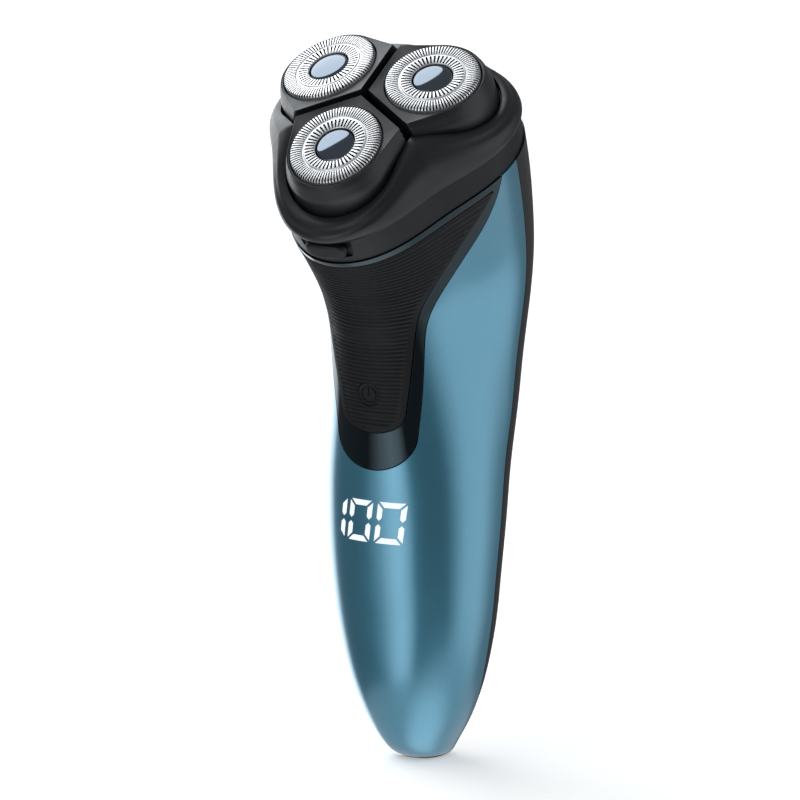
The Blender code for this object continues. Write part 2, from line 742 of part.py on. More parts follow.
def hinge_pin():
    return build("hinge_pin", *rod(HINGE_BORE - 0.25, -7.4, 7.4, 16), BLADE, HINGE)


# ---------------------------------------------------------------- drive

MODULE = 2 * SPINDLE_CIRCLE / (PINION_TEETH + GEAR_TEETH)


def gear_outline(teeth, phase):
    """Straight-flanked teeth, thinned so that a pair runs freely."""
    pitch = MODULE * teeth / 2
    points = []
    for k in range(teeth):
        middle = phase + 2 * math.pi * k / teeth
        step = math.pi / teeth
        for radius, share in ((pitch - 0.95 * MODULE, -0.62), (pitch + 0.62 * MODULE, -0.2),
                              (pitch + 0.62 * MODULE, 0.2), (pitch - 0.95 * MODULE, 0.62)):
            a = middle + share * step
            points.append((radius * math.cos(a), radius * math.sin(a)))
    return points


def spindle_place(angle):
    a = math.radians(angle)
    return HEAD @ shift(SPINDLE_CIRCLE * math.cos(a), SPINDLE_CIRCLE * math.sin(a), 0)


def gear(number, angle):
    """Spindle gear; a tooth space faces the pinion's tooth along the line of centres."""
    facing = math.radians(angle) + math.pi
    pinion_step = 2 * math.pi / PINION_TEETH
    ahead = (math.radians(LOBE_ANGLES[0] - angle)) % pinion_step  # from the line of centres to a pinion tooth
    outline = gear_outline(GEAR_TEETH, facing - ahead * PINION_TEETH / GEAR_TEETH + math.pi / GEAR_TEETH)
    wheel = build(f"gear_{number}", *prism(outline, GEAR_BOTTOM, GEAR_TOP), NYLON, spindle_place(angle))
    combine(wheel, guide(*rod(1.85, -32, -22), spindle_place(angle)), "DIFFERENCE")
    return wheel


def spindle(number, angle):
    """Drive spindle through the deck, with a narrow nose that turns the cutter."""
    profile = ((0.0, -30.0), (1.55, -30.0), (1.55, -9.0), (1.15, -8.2), (1.15, -5.2), (0.8, -4.85), (0.0, -4.85))
    return build(f"spindle_{number}", *turned(profile, 16, loop=False), NYLON, spindle_place(angle))


def shaft_seal(number, angle):
    seat = -NECK_DEPTH + DECK_TOP + GAP
    profile = ((1.85, seat), (3.3, seat), (3.3, seat + 0.8), (2.3, seat + 1.8), (1.85, seat + 1.8))
    return build(f"shaft_seal_{number}", *turned(profile, 24), SEAL, spindle_place(angle))


def motor_pinion():
    wheel = build("motor_pinion", *prism(gear_outline(PINION_TEETH, math.radians(LOBE_ANGLES[0])), GEAR_BOTTOM, GEAR_TOP), BRASS, HEAD)
    combine(wheel, guide(*rod(1.0, MOTOR_TOP + 0.4, GEAR_BOTTOM + 0.6), HEAD), "UNION")
    return wheel


def motor():
    low = MOTOR_TOP - MOTOR_LENGTH
    profile = ((0.0, low - 1.5), (3.0, low - 1.5), (3.0, low), (MOTOR_RADIUS - 0.6, low), (MOTOR_RADIUS, low + 0.6),
               (MOTOR_RADIUS, MOTOR_TOP - 1.4), (MOTOR_RADIUS - 0.8, MOTOR_TOP - 0.6), (3.2, MOTOR_TOP - 0.6),
               (3.2, MOTOR_TOP), (0.0, MOTOR_TOP))
    return build("motor", *turned(profile, 24, loop=False), STEEL, HEAD)



def drive_deck():
    """Sealed deck across the top of the handle, with a bore for each spindle and for each screw."""
    turns = [360 * j / 48 for j in range(48)]
    inverse = NECK.inverted()
    outline = []
    for turn in turns:
        p = inverse @ (Vector(skin(turn, HANDLE_TOP - 1.5, 4.3)) * MM) / MM
        outline.append((p.x, p.y))
    deck = build("drive_deck", *prism(outline, DECK_TOP - DECK_THICK, DECK_TOP), GREY, NECK)
    for angle in LOBE_ANGLES:
        combine(deck, guide(*rod(2.0, -34, -10, 24), spindle_place(angle)), "DIFFERENCE")
    for place in screw_places():
        combine(deck, guide(*rod(1.2, -6, 2, 16), place), "DIFFERENCE")
    return deck


def screw_places():
    for angle in (-30.0, 90.0, 210.0):
        a = math.radians(angle)
        yield NECK @ shift(17.5 * math.cos(a), 17.5 * math.sin(a), 0)


def deck_screw(number, place):
    profile = ((0.0, -7.5), (0.85, -7.0), (0.85, DECK_TOP + 0.25), (1.7, DECK_TOP + 0.25), (1.7, DECK_TOP + 0.9),
               (1.3, DECK_TOP + 1.2), (0.0, DECK_TOP + 1.2))
    return build(f"deck_screw_{number}", *turned(profile, 18, loop=False), BLADE, place)


# ---------------------------------------------------------------- power pack

CELL_Y = -2.5
CELL_RADIUS = 7.0
CELL_LOW = 18.5
CELL_HIGH = 68.5
SOCKET_HEIGHT = 11.0
SOCKET_BACK = -1.9  # y of the middle of the charging socket
SOCKET_RADIUS = 3.6


def battery():
    profile = ((0.0, CELL_LOW), (CELL_RADIUS - 0.5, CELL_LOW), (CELL_RADIUS, CELL_LOW + 0.5),
               (CELL_RADIUS, CELL_HIGH - 1.5), (CELL_RADIUS - 0.5, CELL_HIGH - 1.0), (2.6, CELL_HIGH - 1.0),
               (2.6, CELL_HIGH), (0.0, CELL_HIGH))
    return build("battery", *turned(profile, 24, loop=False), CELL, shift(0, CELL_Y, 0))


def battery_tab(name, height):
    return build(name, *block((-3, CELL_Y - 5, height), (3, CELL_Y + 3, height + 0.3)), BLADE)


def chassis():
    """Inner tray between the cell and the board, with a shelf at each end of the cell."""
    tray = build("chassis", *block((-8.5, -11.4, 16.5), (8.5, -10.2, 96)), GREY)
    combine(tray, guide(*block((-6.5, -10.6, 16.3), (6.5, 1.5, 17.2))), "UNION")
    combine(tray, guide(*block((-8.0, -10.6, 70.0), (8.0, 8.0, 71.5))), "UNION")
    return tray


def circuit_board():
    return build("circuit_board", *block((-7.5, -13.3, 24), (7.5, -12.1, 94)), BOARD)


def display_module():
    return build("display_module", *block((-7.2, -18.2, 51.5), (7.2, -13.6, 64.5)), NYLON)


def power_switch():
    return build("power_switch", *block((-3, -17.4, BUTTON_HEIGHT - 3.8), (3, -13.6, BUTTON_HEIGHT + 2.2)), GREY)


def charging_socket():
    """Round inlet for a charging lead, open to the rear, with its centre contact."""
    profile = ((0.0, -5.0), (SOCKET_RADIUS, -5.0), (SOCKET_RADIUS, 6.0), (2.55, 6.0), (2.55, -2.0),
               (0.8, -2.0), (0.8, 3.8), (0.0, 4.2))
    place = shift(0, SOCKET_BACK, SOCKET_HEIGHT) @ lean(-90)
    return build("charging_socket", *turned(profile, 24, loop=False), GREY, place)


def socket_seal():
    profile = ((3.9, 2.4), (5.0, 2.4), (5.0, 3.4), (3.9, 3.4))
    return build("socket_seal", *turned(profile, 24), SEAL, shift(0, SOCKET_BACK, SOCKET_HEIGHT) @ lean(-90))


# ---------------------------------------------------------------- assembly

front_shell()
rear_shell()
panel_bezel()
grip_panel()
neck_collar()
power_button()
release_button()
release_spring()
head_shell()
head_base()
head_catch()
lock_knob()
hinge_pin()
drive_deck()
motor()
motor_pinion()
battery()
battery_tab("battery_tab_bottom", CELL_LOW - 0.6)
battery_tab("battery_tab_top", CELL_HIGH + 0.3)
chassis()
circuit_board()
display_module()
power_switch()
charging_socket()
socket_seal()
for number, place in enumerate(screw_places(), 1):
    deck_screw(number, place)
for number, angle in enumerate(LOBE_ANGLES, 1):
    frame = lobe_frame(angle)
    petal(number, frame)
    retainer(number, frame)
    guard(number, frame)
    guard_dome(number, frame)
    cutter(number, frame)
    gear(number, angle)
    spindle(number, angle)
    shaft_seal(number, angle)
bpy.context.view_layer.update()
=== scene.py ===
"""Finish of the electric shaver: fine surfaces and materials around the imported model.

Lengths are in millimetres and angles in degrees until a mesh is made. The handle stands on its foot
at the origin, +Z runs up it and -Y is its front.
"""

import math

import bmesh
import bpy
import numpy as np
from mathutils import Matrix, Vector


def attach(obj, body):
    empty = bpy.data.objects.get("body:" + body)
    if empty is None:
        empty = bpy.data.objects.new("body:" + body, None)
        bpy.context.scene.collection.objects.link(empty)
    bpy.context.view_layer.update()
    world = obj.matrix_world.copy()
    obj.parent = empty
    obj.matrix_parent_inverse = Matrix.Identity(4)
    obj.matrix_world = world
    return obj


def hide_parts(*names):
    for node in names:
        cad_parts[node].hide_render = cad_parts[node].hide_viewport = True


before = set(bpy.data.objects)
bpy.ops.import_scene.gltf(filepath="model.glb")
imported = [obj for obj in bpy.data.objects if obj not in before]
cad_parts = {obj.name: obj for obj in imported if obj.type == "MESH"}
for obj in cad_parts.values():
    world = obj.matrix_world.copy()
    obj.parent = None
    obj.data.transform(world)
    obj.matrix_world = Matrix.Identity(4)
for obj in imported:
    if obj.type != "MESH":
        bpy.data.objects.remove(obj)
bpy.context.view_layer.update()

MM = 0.001
SEAM = 0.2  # visible gap between neighbouring casing parts


# ---------------------------------------------------------------- camera, floor and light

VIEW_RIGHT = Vector((0.852, 0.523, -0.018))
VIEW_UP = Vector((-0.103, 0.201, 0.974))
VIEW_CENTRE = (-6.47, 79.3)  # middle of the picture from the foot, along right and up
VIEW_WIDTH = 179.8
VIEW_DISTANCE = 6.5
VIEW_DEPTH = 27.0  # how far in front of the foot the picture's width is measured
SENSOR = 36.0


def make_camera():
    back = VIEW_RIGHT.cross(VIEW_UP).normalized()
    up = back.cross(VIEW_RIGHT).normalized()
    data = bpy.data.cameras.new("camera")
    data.sensor_width = SENSOR
    data.lens = SENSOR * VIEW_DISTANCE / (VIEW_WIDTH * MM)
    data.clip_start = 0.1
    data.clip_end = 30.0
    camera = bpy.data.objects.new("camera", data)
    aim = (VIEW_RIGHT * VIEW_CENTRE[0] + up * VIEW_CENTRE[1] + back * VIEW_DEPTH) * MM
    turn = Matrix((VIEW_RIGHT.normalized(), up, back)).transposed().to_4x4()
    camera.matrix_world = Matrix.Translation(aim + back * VIEW_DISTANCE) @ turn
    bpy.context.scene.collection.objects.link(camera)
    bpy.context.scene.camera = camera


def add_node(tree, kind, **settings):
    node = tree.nodes.new(kind)
    for key, value in settings.items():
        setattr(node, key, value)
    return node


def maths(tree, operation, first, second=None):
    """A Math node; its inputs are sockets or numbers. Returns its output socket."""
    node = add_node(tree, "ShaderNodeMath", operation=operation)
    for slot, value in zip(node.inputs, (first, second)):
        if value is None:
            continue
        if isinstance(value, (int, float)):
            slot.default_value = value
        else:
            tree.links.new(value, slot)
    return node.outputs[0]


def ramp(tree, factor, stops, smooth="LINEAR"):
    """A ramp of grey or coloured stops (place, value) over a factor. Returns its colour socket."""
    node = add_node(tree, "ShaderNodeValToRGB")
    node.color_ramp.interpolation = smooth
    elements = node.color_ramp.elements
    while len(elements) < len(stops):
        elements.new(0.5)
    for element, (place, value) in zip(elements, stops):
        element.position = place
        element.color = (*value, 1.0) if isinstance(value, tuple) else (value, value, value, 1.0)
    tree.links.new(factor, node.inputs[0])
    return node.outputs[0]


# Brightness of the studio around the horizon, by azimuth from the front towards +X.
WALLS = ((-180, 0.1), (-152, 0.1), (-142, 0.9), (-106, 0.9), (-96, 0.06), (-36, 0.05), (-24, 0.50),
         (-10, 0.80), (2, 0.60), (13, 0.05), (62, 0.05), (92, 0.50), (122, 0.50), (146, 0.1), (180, 0.1))
WALLS_GAIN = 2.2
# Round lights in the studio: direction, cosine of the half angle outside and inside the edge,
# brightness.
ROUND_LIGHTS = (((-0.68, 0.27, 0.68), 0.903, 0.911, 3.0), ((0.262, -0.220, -0.940), 0.788, 0.961, 1.4))
CEILING = 0.22
GROUND = 0.62
# Share of the ceiling and of the ground, by the ray's height from 0 straight down to 1 straight up.
CEILING_EDGE = ((0.66, 0.0), (0.78, 1.0))
GROUND_EDGE = ((0.22, 1.0), (0.25, 0.0))


def make_world():
    """A studio of soft walls, round lights and a pale ground; the background itself is white."""
    world = bpy.data.worlds.new("studio")
    bpy.context.scene.world = world
    world.use_nodes = True
    tree = world.node_tree
    tree.nodes.clear()
    direction = add_node(tree, "ShaderNodeTexCoord").outputs["Generated"]
    split = add_node(tree, "ShaderNodeSeparateXYZ")
    tree.links.new(direction, split.inputs[0])
    x, y, z = split.outputs
    azimuth = maths(tree, "ARCTAN2", x, maths(tree, "MULTIPLY", y, -1.0))
    around = maths(tree, "ADD", maths(tree, "MULTIPLY", azimuth, 0.5 / math.pi), 0.5)
    walls = ramp(tree, around, [((a + 180) / 360, v) for a, v in WALLS])
    walls = maths(tree, "MULTIPLY", walls, WALLS_GAIN)
    height = maths(tree, "ADD", maths(tree, "MULTIPLY", z, 0.5), 0.5)
    upward = ramp(tree, height, CEILING_EDGE, "EASE")
    downward = ramp(tree, height, GROUND_EDGE, "EASE")

    def blend(low, high, share):
        rest = maths(tree, "SUBTRACT", 1.0, share)
        return maths(tree, "ADD", maths(tree, "MULTIPLY", low, rest),
                     maths(tree, "MULTIPLY", high, share))

    level = blend(walls, CEILING, upward)
    level = blend(level, GROUND, downward)
    for towards, outside, inside, gain in ROUND_LIGHTS:
        facing = add_node(tree, "ShaderNodeVectorMath", operation="DOT_PRODUCT")
        tree.links.new(direction, facing.inputs[0])
        facing.inputs[1].default_value = Vector(towards).normalized()
        box = add_node(tree, "ShaderNodeMapRange")
        box.inputs["From Min"].default_value = outside
        box.inputs["From Max"].default_value = inside
        tree.links.new(facing.outputs["Value"], box.inputs["Value"])
        level = blend(level, gain, box.outputs[0])
    studio = add_node(tree, "ShaderNodeBackground")
    studio.inputs["Color"].default_value = (0.93, 0.97, 1.0, 1.0)
    tree.links.new(level, studio.inputs["Strength"])
    white = add_node(tree, "ShaderNodeBackground")
    white.inputs["Color"].default_value = (1.0, 1.0, 1.0, 1.0)
    mix = add_node(tree, "ShaderNodeMixShader")
    seen = add_node(tree, "ShaderNodeLightPath").outputs["Is Camera Ray"]
    tree.links.new(seen, mix.inputs[0])
    tree.links.new(studio.outputs[0], mix.inputs[1])
    tree.links.new(white.outputs[0], mix.inputs[2])
    output = add_node(tree, "ShaderNodeOutputWorld")
    tree.links.new(mix.outputs[0], output.inputs[0])


def make_light(name, place, aim, width, power):
    data = bpy.data.lights.new(name, "AREA")
    data.shape = "DISK"
    data.size = width
    data.energy = power
    light = bpy.data.objects.new(name, data)
    light.location = place
    light.rotation_euler = (Vector(aim) - Vector(place)).to_track_quat("-Z", "Y").to_euler()
    light.visible_glossy = False
    bpy.context.scene.collection.objects.link(light)


FLOOR_REACH = 14.0
FLOOR_GLOW = 0.4  # keeps the pale floor as bright as the background


def make_stage():
    mesh = bpy.data.meshes.new("floor")
    corners = [(x * FLOOR_REACH, y * FLOOR_REACH, 0) for x, y in ((-1, -1), (1, -1), (1, 1), (-1, 1))]
    mesh.from_pydata(corners, [], [(0, 1, 2, 3)])
    floor = bpy.data.objects.new("floor", mesh)
    paint = bpy.data.materials.new("floor_paint")
    paint.use_nodes = True
    shader = paint.node_tree.nodes["Principled BSDF"]
    shader.inputs["Base Color"].default_value = (0.93, 0.93, 0.93, 1.0)
    shader.inputs["Roughness"].default_value = 0.9
    shader.inputs["Specular IOR Level"].default_value = 0.1
    shader.inputs["Emission Color"].default_value = (1.0, 1.0, 1.0, 1.0)
    shader.inputs["Emission Strength"].default_value = FLOOR_GLOW
    mesh.materials.append(paint)
    floor.visible_glossy = False
    floor.visible_diffuse = False
    bpy.context.scene.collection.objects.link(floor)


make_camera()
make_world()
make_stage()
LIGHT_AIM = (0, 0, 0.05)
LIGHT_WIDTH = 1.6
make_light("key", (-0.9, -0.9, 1.9), LIGHT_AIM, LIGHT_WIDTH, 12.0)
make_light("fill", (1.3, 0.6, 1.6), LIGHT_AIM, LIGHT_WIDTH, 4.0)
bpy.context.scene.view_settings.view_transform = "Standard"


# ---------------------------------------------------------------- materials


def noise(tree, vector, size, detail=2.0):
    """A noise whose marks are about size millimetres wide. Returns its value socket."""
    node = add_node(tree, "ShaderNodeTexNoise")
    node.inputs["Scale"].default_value = 1 / (size * MM)
    node.inputs["Detail"].default_value = detail
    tree.links.new(vector, node.inputs["Vector"])
    return node.outputs["Fac"]


def between(tree, factor, low, high):
    """Carries a value from 0.3...0.7 to low...high."""
    node = add_node(tree, "ShaderNodeMapRange")
    for name, value in (("From Min", 0.3), ("From Max", 0.7), ("To Min", low), ("To Max", high)):
        node.inputs[name].default_value = value
    tree.links.new(factor, node.inputs["Value"])
    return node.outputs[0]


def tinted(tree, factor, colour, share):
    """The colour, varied by a share either way with a factor. Returns a colour socket."""
    mix = add_node(tree, "ShaderNodeMix", data_type="RGBA")
    tree.links.new(factor, mix.inputs["Factor"])
    mix.inputs[6].default_value = (*[c * (1 - share) for c in colour], 1.0)
    mix.inputs[7].default_value = (*[min(1.0, c * (1 + share)) for c in colour], 1.0)
    return mix.outputs[2]


FLAKE_SIZE = 0.11


def surface(name, colour, roughness, metallic=0.0, mottle=(7.0, 0.08), grain=(0.2, 0.004),
            uneven=0.04, marks=None, flakes=0.0, **sockets):
    """A moulded, painted or turned surface.

    mottle is the size and share of the colour's slow change, grain the size and depth of its fine
    relief, uneven how far the roughness strays, marks the pitch and depth of turned rings about the
    piece's own axis, flakes the share of metal flakes. Other names are the shader's sockets.
    """
    made = bpy.data.materials.new(name)
    made.use_nodes = True
    tree = made.node_tree
    shader = tree.nodes["Principled BSDF"]
    shader.inputs["Metallic"].default_value = metallic
    for key, value in sockets.items():
        shader.inputs[key.replace("_", " ")].default_value = value
    place = add_node(tree, "ShaderNodeTexCoord").outputs["Object"]
    slow = noise(tree, place, mottle[0], 4.0)
    fine = noise(tree, place, grain[0])
    tint = slow
    if flakes:
        cells = add_node(tree, "ShaderNodeTexVoronoi")
        cells.inputs["Scale"].default_value = 1 / (FLAKE_SIZE * MM)
        tree.links.new(place, cells.inputs["Vector"])
        split = add_node(tree, "ShaderNodeSeparateColor")
        tree.links.new(cells.outputs["Color"], split.inputs[0])
        sparkle = maths(tree, "MULTIPLY", split.outputs[0], flakes)
        tint = maths(tree, "ADD", maths(tree, "MULTIPLY", slow, 1 - flakes), sparkle)
    tree.links.new(tinted(tree, tint, colour, mottle[1]), shader.inputs["Base Color"])
    patchy = noise(tree, place, mottle[0] * 0.37, 3.0)
    rough = between(tree, patchy, roughness - uneven, roughness + uneven)
    tree.links.new(rough, shader.inputs["Roughness"])
    bump = add_node(tree, "ShaderNodeBump")
    bump.inputs["Distance"].default_value = grain[1] * MM
    tree.links.new(fine, bump.inputs["Height"])
    last = bump
    if marks:
        flat = add_node(tree, "ShaderNodeVectorMath", operation="MULTIPLY")
        flat.inputs[1].default_value = (1.0, 1.0, 0.0)
        own = add_node(tree, "ShaderNodeAttribute", attribute_name="own_place")
        tree.links.new(own.outputs["Vector"], flat.inputs[0])
        reach = add_node(tree, "ShaderNodeVectorMath", operation="LENGTH")
        tree.links.new(flat.outputs[0], reach.inputs[0])
        rings = add_node(tree, "ShaderNodeTexNoise", noise_dimensions="1D")
        rings.inputs["Scale"].default_value = 1 / (marks[0] * MM)
        tree.links.new(reach.outputs["Value"], rings.inputs["W"])
        last = add_node(tree, "ShaderNodeBump")
        last.inputs["Distance"].default_value = marks[1] * MM
        tree.links.new(rings.outputs["Fac"], last.inputs["Height"])
        tree.links.new(bump.outputs[0], last.inputs["Normal"])
    tree.links.new(last.outputs[0], shader.inputs["Normal"])
    return made


def glowing(name, colour, strength):
    made = surface(name, colour, 0.35, mottle=(1.2, 0.05), grain=(0.15, 0.003))
    shader = made.node_tree.nodes["Principled BSDF"]
    shader.inputs["Emission Color"].default_value = (*colour, 1.0)
    shader.inputs["Emission Strength"].default_value = strength
    return made


LOOKS = {
    "pearl_blue": surface("pearl_blue", (0.085, 0.345, 0.500), 0.30, 0.62, mottle=(26.0, 0.10),
                          grain=(0.09, 0.0015), uneven=0.02, flakes=0.55, Coat_Weight=1.0,
                          Coat_IOR=1.7, Coat_Roughness=0.16),
    "satin_black": surface("satin_black", (0.020, 0.021, 0.023), 0.36, grain=(0.16, 0.006),
                           Specular_IOR_Level=0.45),
    "gloss_black": surface("gloss_black", (0.004, 0.006, 0.009), 0.05, mottle=(14.0, 0.2),
                           grain=(2.5, 0.002), uneven=0.015, Specular_Tint=(0.62, 0.88, 1.0, 1.0),
                           Specular_IOR_Level=0.8),
    "grip_rubber": surface("grip_rubber", (0.012, 0.012, 0.013), 0.52, grain=(0.10, 0.010), uneven=0.06,
                           Specular_IOR_Level=0.25),
    "matte_black": surface("matte_black", (0.016, 0.016, 0.017), 0.46, grain=(0.14, 0.008),
                           Specular_IOR_Level=0.3),
    "guard_steel": surface("guard_steel", (0.90, 0.90, 0.91), 0.38, 0.75, mottle=(2.2, 0.05),
                           grain=(0.12, 0.002), uneven=0.05, marks=(0.05, 0.003)),
    "cap_steel": surface("cap_steel", (0.17, 0.20, 0.24), 0.05, 1.0, mottle=(3.0, 0.04),
                         grain=(0.5, 0.0006), uneven=0.015),
    # Cutter steel painted darker than bare steel: painted shade for the cutters, which sit in shadow
    # behind the guards' slots. The guards' inner faces and slot walls also take this steel as painted
    # shade.
    "blade_steel": surface("blade_steel", (0.17, 0.17, 0.18), 0.26, 1.0, mottle=(1.8, 0.10),
                           grain=(0.10, 0.003), uneven=0.06, marks=(0.06, 0.004)),
    "white_nylon": surface("white_nylon", (0.70, 0.70, 0.66), 0.42, mottle=(4.0, 0.06),
                           grain=(0.12, 0.006), Subsurface_Weight=0.1),
    "grey_plastic": surface("grey_plastic", (0.060, 0.063, 0.068), 0.45, mottle=(5.0, 0.10),
                            grain=(0.16, 0.010)),
    "seal_rubber": surface("seal_rubber", (0.022, 0.022, 0.024), 0.62, mottle=(2.5, 0.12),
                           grain=(0.10, 0.008), uneven=0.06),
    "cell_sleeve": surface("cell_sleeve", (0.05, 0.22, 0.12), 0.32, mottle=(9.0, 0.12),
                           grain=(0.4, 0.006)),
    "board_green": surface("board_green", (0.02, 0.14, 0.07), 0.40, mottle=(1.4, 0.30),
                           grain=(0.3, 0.02)),
    "brass": surface("brass", (0.78, 0.56, 0.24), 0.28, 1.0, mottle=(1.5, 0.10), grain=(0.1, 0.004),
                     uneven=0.06),
    "digit_white": glowing("digit_white", (0.93, 0.97, 1.0), 0.5),
}


def dress_cad_nodes():
    """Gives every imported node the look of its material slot."""
    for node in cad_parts.values():
        for held in node.material_slots:
            key = held.material.name.split(".")[0]
            if key in LOOKS:
                held.material = LOOKS[key]


# ---------------------------------------------------------------- mesh helpers


SMOOTH_ANGLE = 35.0  # edges sharper than this show as edges
EDGE_ANGLE = 38.0  # edges sharper than this are rounded
MERGE = 2e-7  # metres between points that are taken as one


def build(name, points, faces, look, place=None, smooth=SMOOTH_ANGLE, bevel=0.0):
    """A mesh object from points in millimetres, in the frame that place gives.

    The point attribute own_place keeps each point's place in the piece's own frame.
    """
    mesh = bpy.data.meshes.new(name)
    mesh.from_pydata([Vector(p) * MM for p in points], [], faces)
    shell = bmesh.new()
    shell.from_mesh(mesh)
    bmesh.ops.remove_doubles(shell, verts=shell.verts, dist=MERGE)
    bmesh.ops.recalc_face_normals(shell, faces=shell.faces)
    shell.to_mesh(mesh)
    shell.free()
    spots = np.empty(len(mesh.vertices) * 3, np.float32)
    mesh.vertices.foreach_get("co", spots)
    mesh.attributes.new("own_place", "FLOAT_VECTOR", "POINT").data.foreach_set("vector", spots)
    if place is not None:
        mesh.transform(place)
    mesh.shade_smooth()
    mesh.set_sharp_from_angle(angle=math.radians(smooth))
    mesh.materials.append(LOOKS[look])
    made = bpy.data.objects.new(name, mesh)
    bpy.context.scene.collection.objects.link(made)
    if bevel:
        round_edges(made, bevel)
    return made


def round_edges(piece, width, parts=2):
    step = piece.modifiers.new("Round", "BEVEL")
    step.width = width * MM
    step.segments = parts
    step.limit_method = "ANGLE"
    step.angle_limit = math.radians(EDGE_ANGLE)
    step.harden_normals = True


def combine(target, other, operation):
    """Joins other to target, or cuts it away, and drops the guide."""
    step = target.modifiers.new(operation.title(), "BOOLEAN")
    step.operation = operation
    step.solver = "EXACT"
    step.object = other
    bpy.context.view_layer.update()
    graph = bpy.context.evaluated_depsgraph_get()
    result = bpy.data.meshes.new_from_object(target.evaluated_get(graph))
    target.modifiers.clear()
    target.data = result
    result.shade_smooth()
    result.set_sharp_from_angle(angle=math.radians(SMOOTH_ANGLE))
    bpy.data.objects.remove(other)


def loft(rings, loop=False, capped=True):
    """Points and faces of a skin through rings of equal length; a loop joins the last to the first."""
    count = len(rings[0])
    points = [p for ring in rings for p in ring]
    faces = []
    rows = len(rings) if loop else len(rings) - 1
    for i in range(rows):
        a = i * count
        b = (i + 1) % len(rings) * count
        for j in range(count):
            k = (j + 1) % count
            faces.append((a + j, a + k, b + k, b + j))
    if capped and not loop:
        faces.append(tuple(reversed(range(count))))
        faces.append(tuple(range((len(rings) - 1) * count, len(rings) * count)))
    return points, faces


def turned(profile, sides):
    """A turned solid about Z through (radius, height) points."""
    angles = [2 * math.pi * j / sides for j in range(sides)]
    return loft([[(r * math.cos(a), r * math.sin(a), z) for a in angles] for r, z in profile])


def thickened(faces, count):
    """The faces, their copies on the second count of points, and a wall along each open edge."""
    edges = {(a, b) for face in faces for a, b in zip(face, face[1:] + face[:1])}
    walls = sorted((b, a, a + count, b + count) for a, b in edges if (b, a) not in edges)
    return faces + [tuple(count + v for v in reversed(face)) for face in faces] + walls


def rod(radius, low, high, sides=64):
    return turned(((radius, low), (radius, high)), sides)


def prism(outline, low, high):
    return loft([[(x, y, low) for x, y in outline], [(x, y, high) for x, y in outline]])


def block(low, high):
    (x0, y0, z0), (x1, y1, z1) = low, high
    return prism(((x0, y0), (x1, y0), (x1, y1), (x0, y1)), z0, z1)


def guide(points, faces, place=None):
    return build("guide", points, faces, "grey_plastic", place)


def lean(degrees):
    return Matrix.Rotation(math.radians(degrees), 4, "X")


def shift(x, y, z):
    return Matrix.Translation(Vector((x, y, z)) * MM)


def spread(low, high, count):
    return [low + (high - low) * i / count for i in range(count + 1)]


def settle(piece, body, slot, *nodes):
    """The piece rides on a body and stands for the named nodes, which are hidden; the slot is not used."""
    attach(piece, body)
    if nodes:
        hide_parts(*nodes)
    return piece


# ---------------------------------------------------------------- handle skin

# Columns: height, y of the centre, forward lean, half width, front depth, rear depth, three-lobe
# share, roundness.
STATIONS = (
    (0.0, -1.6, 0, 4.8, 5.2, 4.4, 0.0, 2.25),
    (0.9, -1.9, 0, 6.4, 7.1, 5.0, 0.0, 2.25),
    (4.0, -2.3, 0, 8.6, 10.2, 5.9, 0.0, 2.25),
    (10.0, -2.4, 0, 12.2, 13.2, 7.3, 0.0, 2.25),
    (20.0, -2.5, 0, 15.9, 16.0, 9.6, 0.0, 2.25),
    (38.0, -2.5, 0, 19.4, 18.0, 11.2, 0.0, 2.25),
    (62.0, -0.8, 0, 20.8, 20.7, 13.6, 0.0, 2.25),
    (86.0, 2.0, 3, 20.8, 23.5, 17.2, 0.04, 2.25),
    (110.0, 0.9, 14, 22.1, 24.5, 22.3, 0.11, 2.25),
    (127.0, -5.4, 22, 25.2, 26.6, 25.9, 0.115, 2.15),
    (137.3, -11.1, 32.5, 27.9, 27.9, 27.9, 0.123, 2.0),
)
HANDLE_TOP = 137.3
FOOT_TOP = 0.5
WALL = 2.0
SOFTEN = 3.0  # how far along the handle its sections are evened out

# Height and turn from the front line: where the front wall meets the rear one, and the outer and
# inner border of the bezel beside the grip.
PARTING = ((0, 112), (6, 110), (10, 103), (14, 97.5), (20, 94), (32, 91.2), (50, 92), (70, 94),
           (80, 98), (90, 101.5), (100, 105.2), (110, 107.3), (121, 106.5), (138, 103))
BEZEL_SIDE = ((78.5, 26.5), (87.5, 28.8), (98.5, 30.5), (108, 32), (114, 38), (118.5, 50), (123.5, 67),
              (128, 80), (132.5, 87.5), (138, 93))
GRIP_SIDE = ((83.5, 20), (88, 22), (102.5, 26), (111, 28.5), (118.5, 39), (124.5, 57), (130.5, 76),
             (136, 89))
BEZEL_BOTTOM = 70.0
BEZEL_SHOULDER = 78.5
BEZEL_TURN = 26.5
GRIP_BOTTOM = 79.0
GRIP_SHOULDER = 83.5
GRIP_TURN = 20.0
BAND_HEIGHT = 2.4
BEZEL_CORNER = 92.0
GRIP_CORNER = 86.5
LEVELS = np.arange(0.0, HANDLE_TOP + 0.04, 0.05)


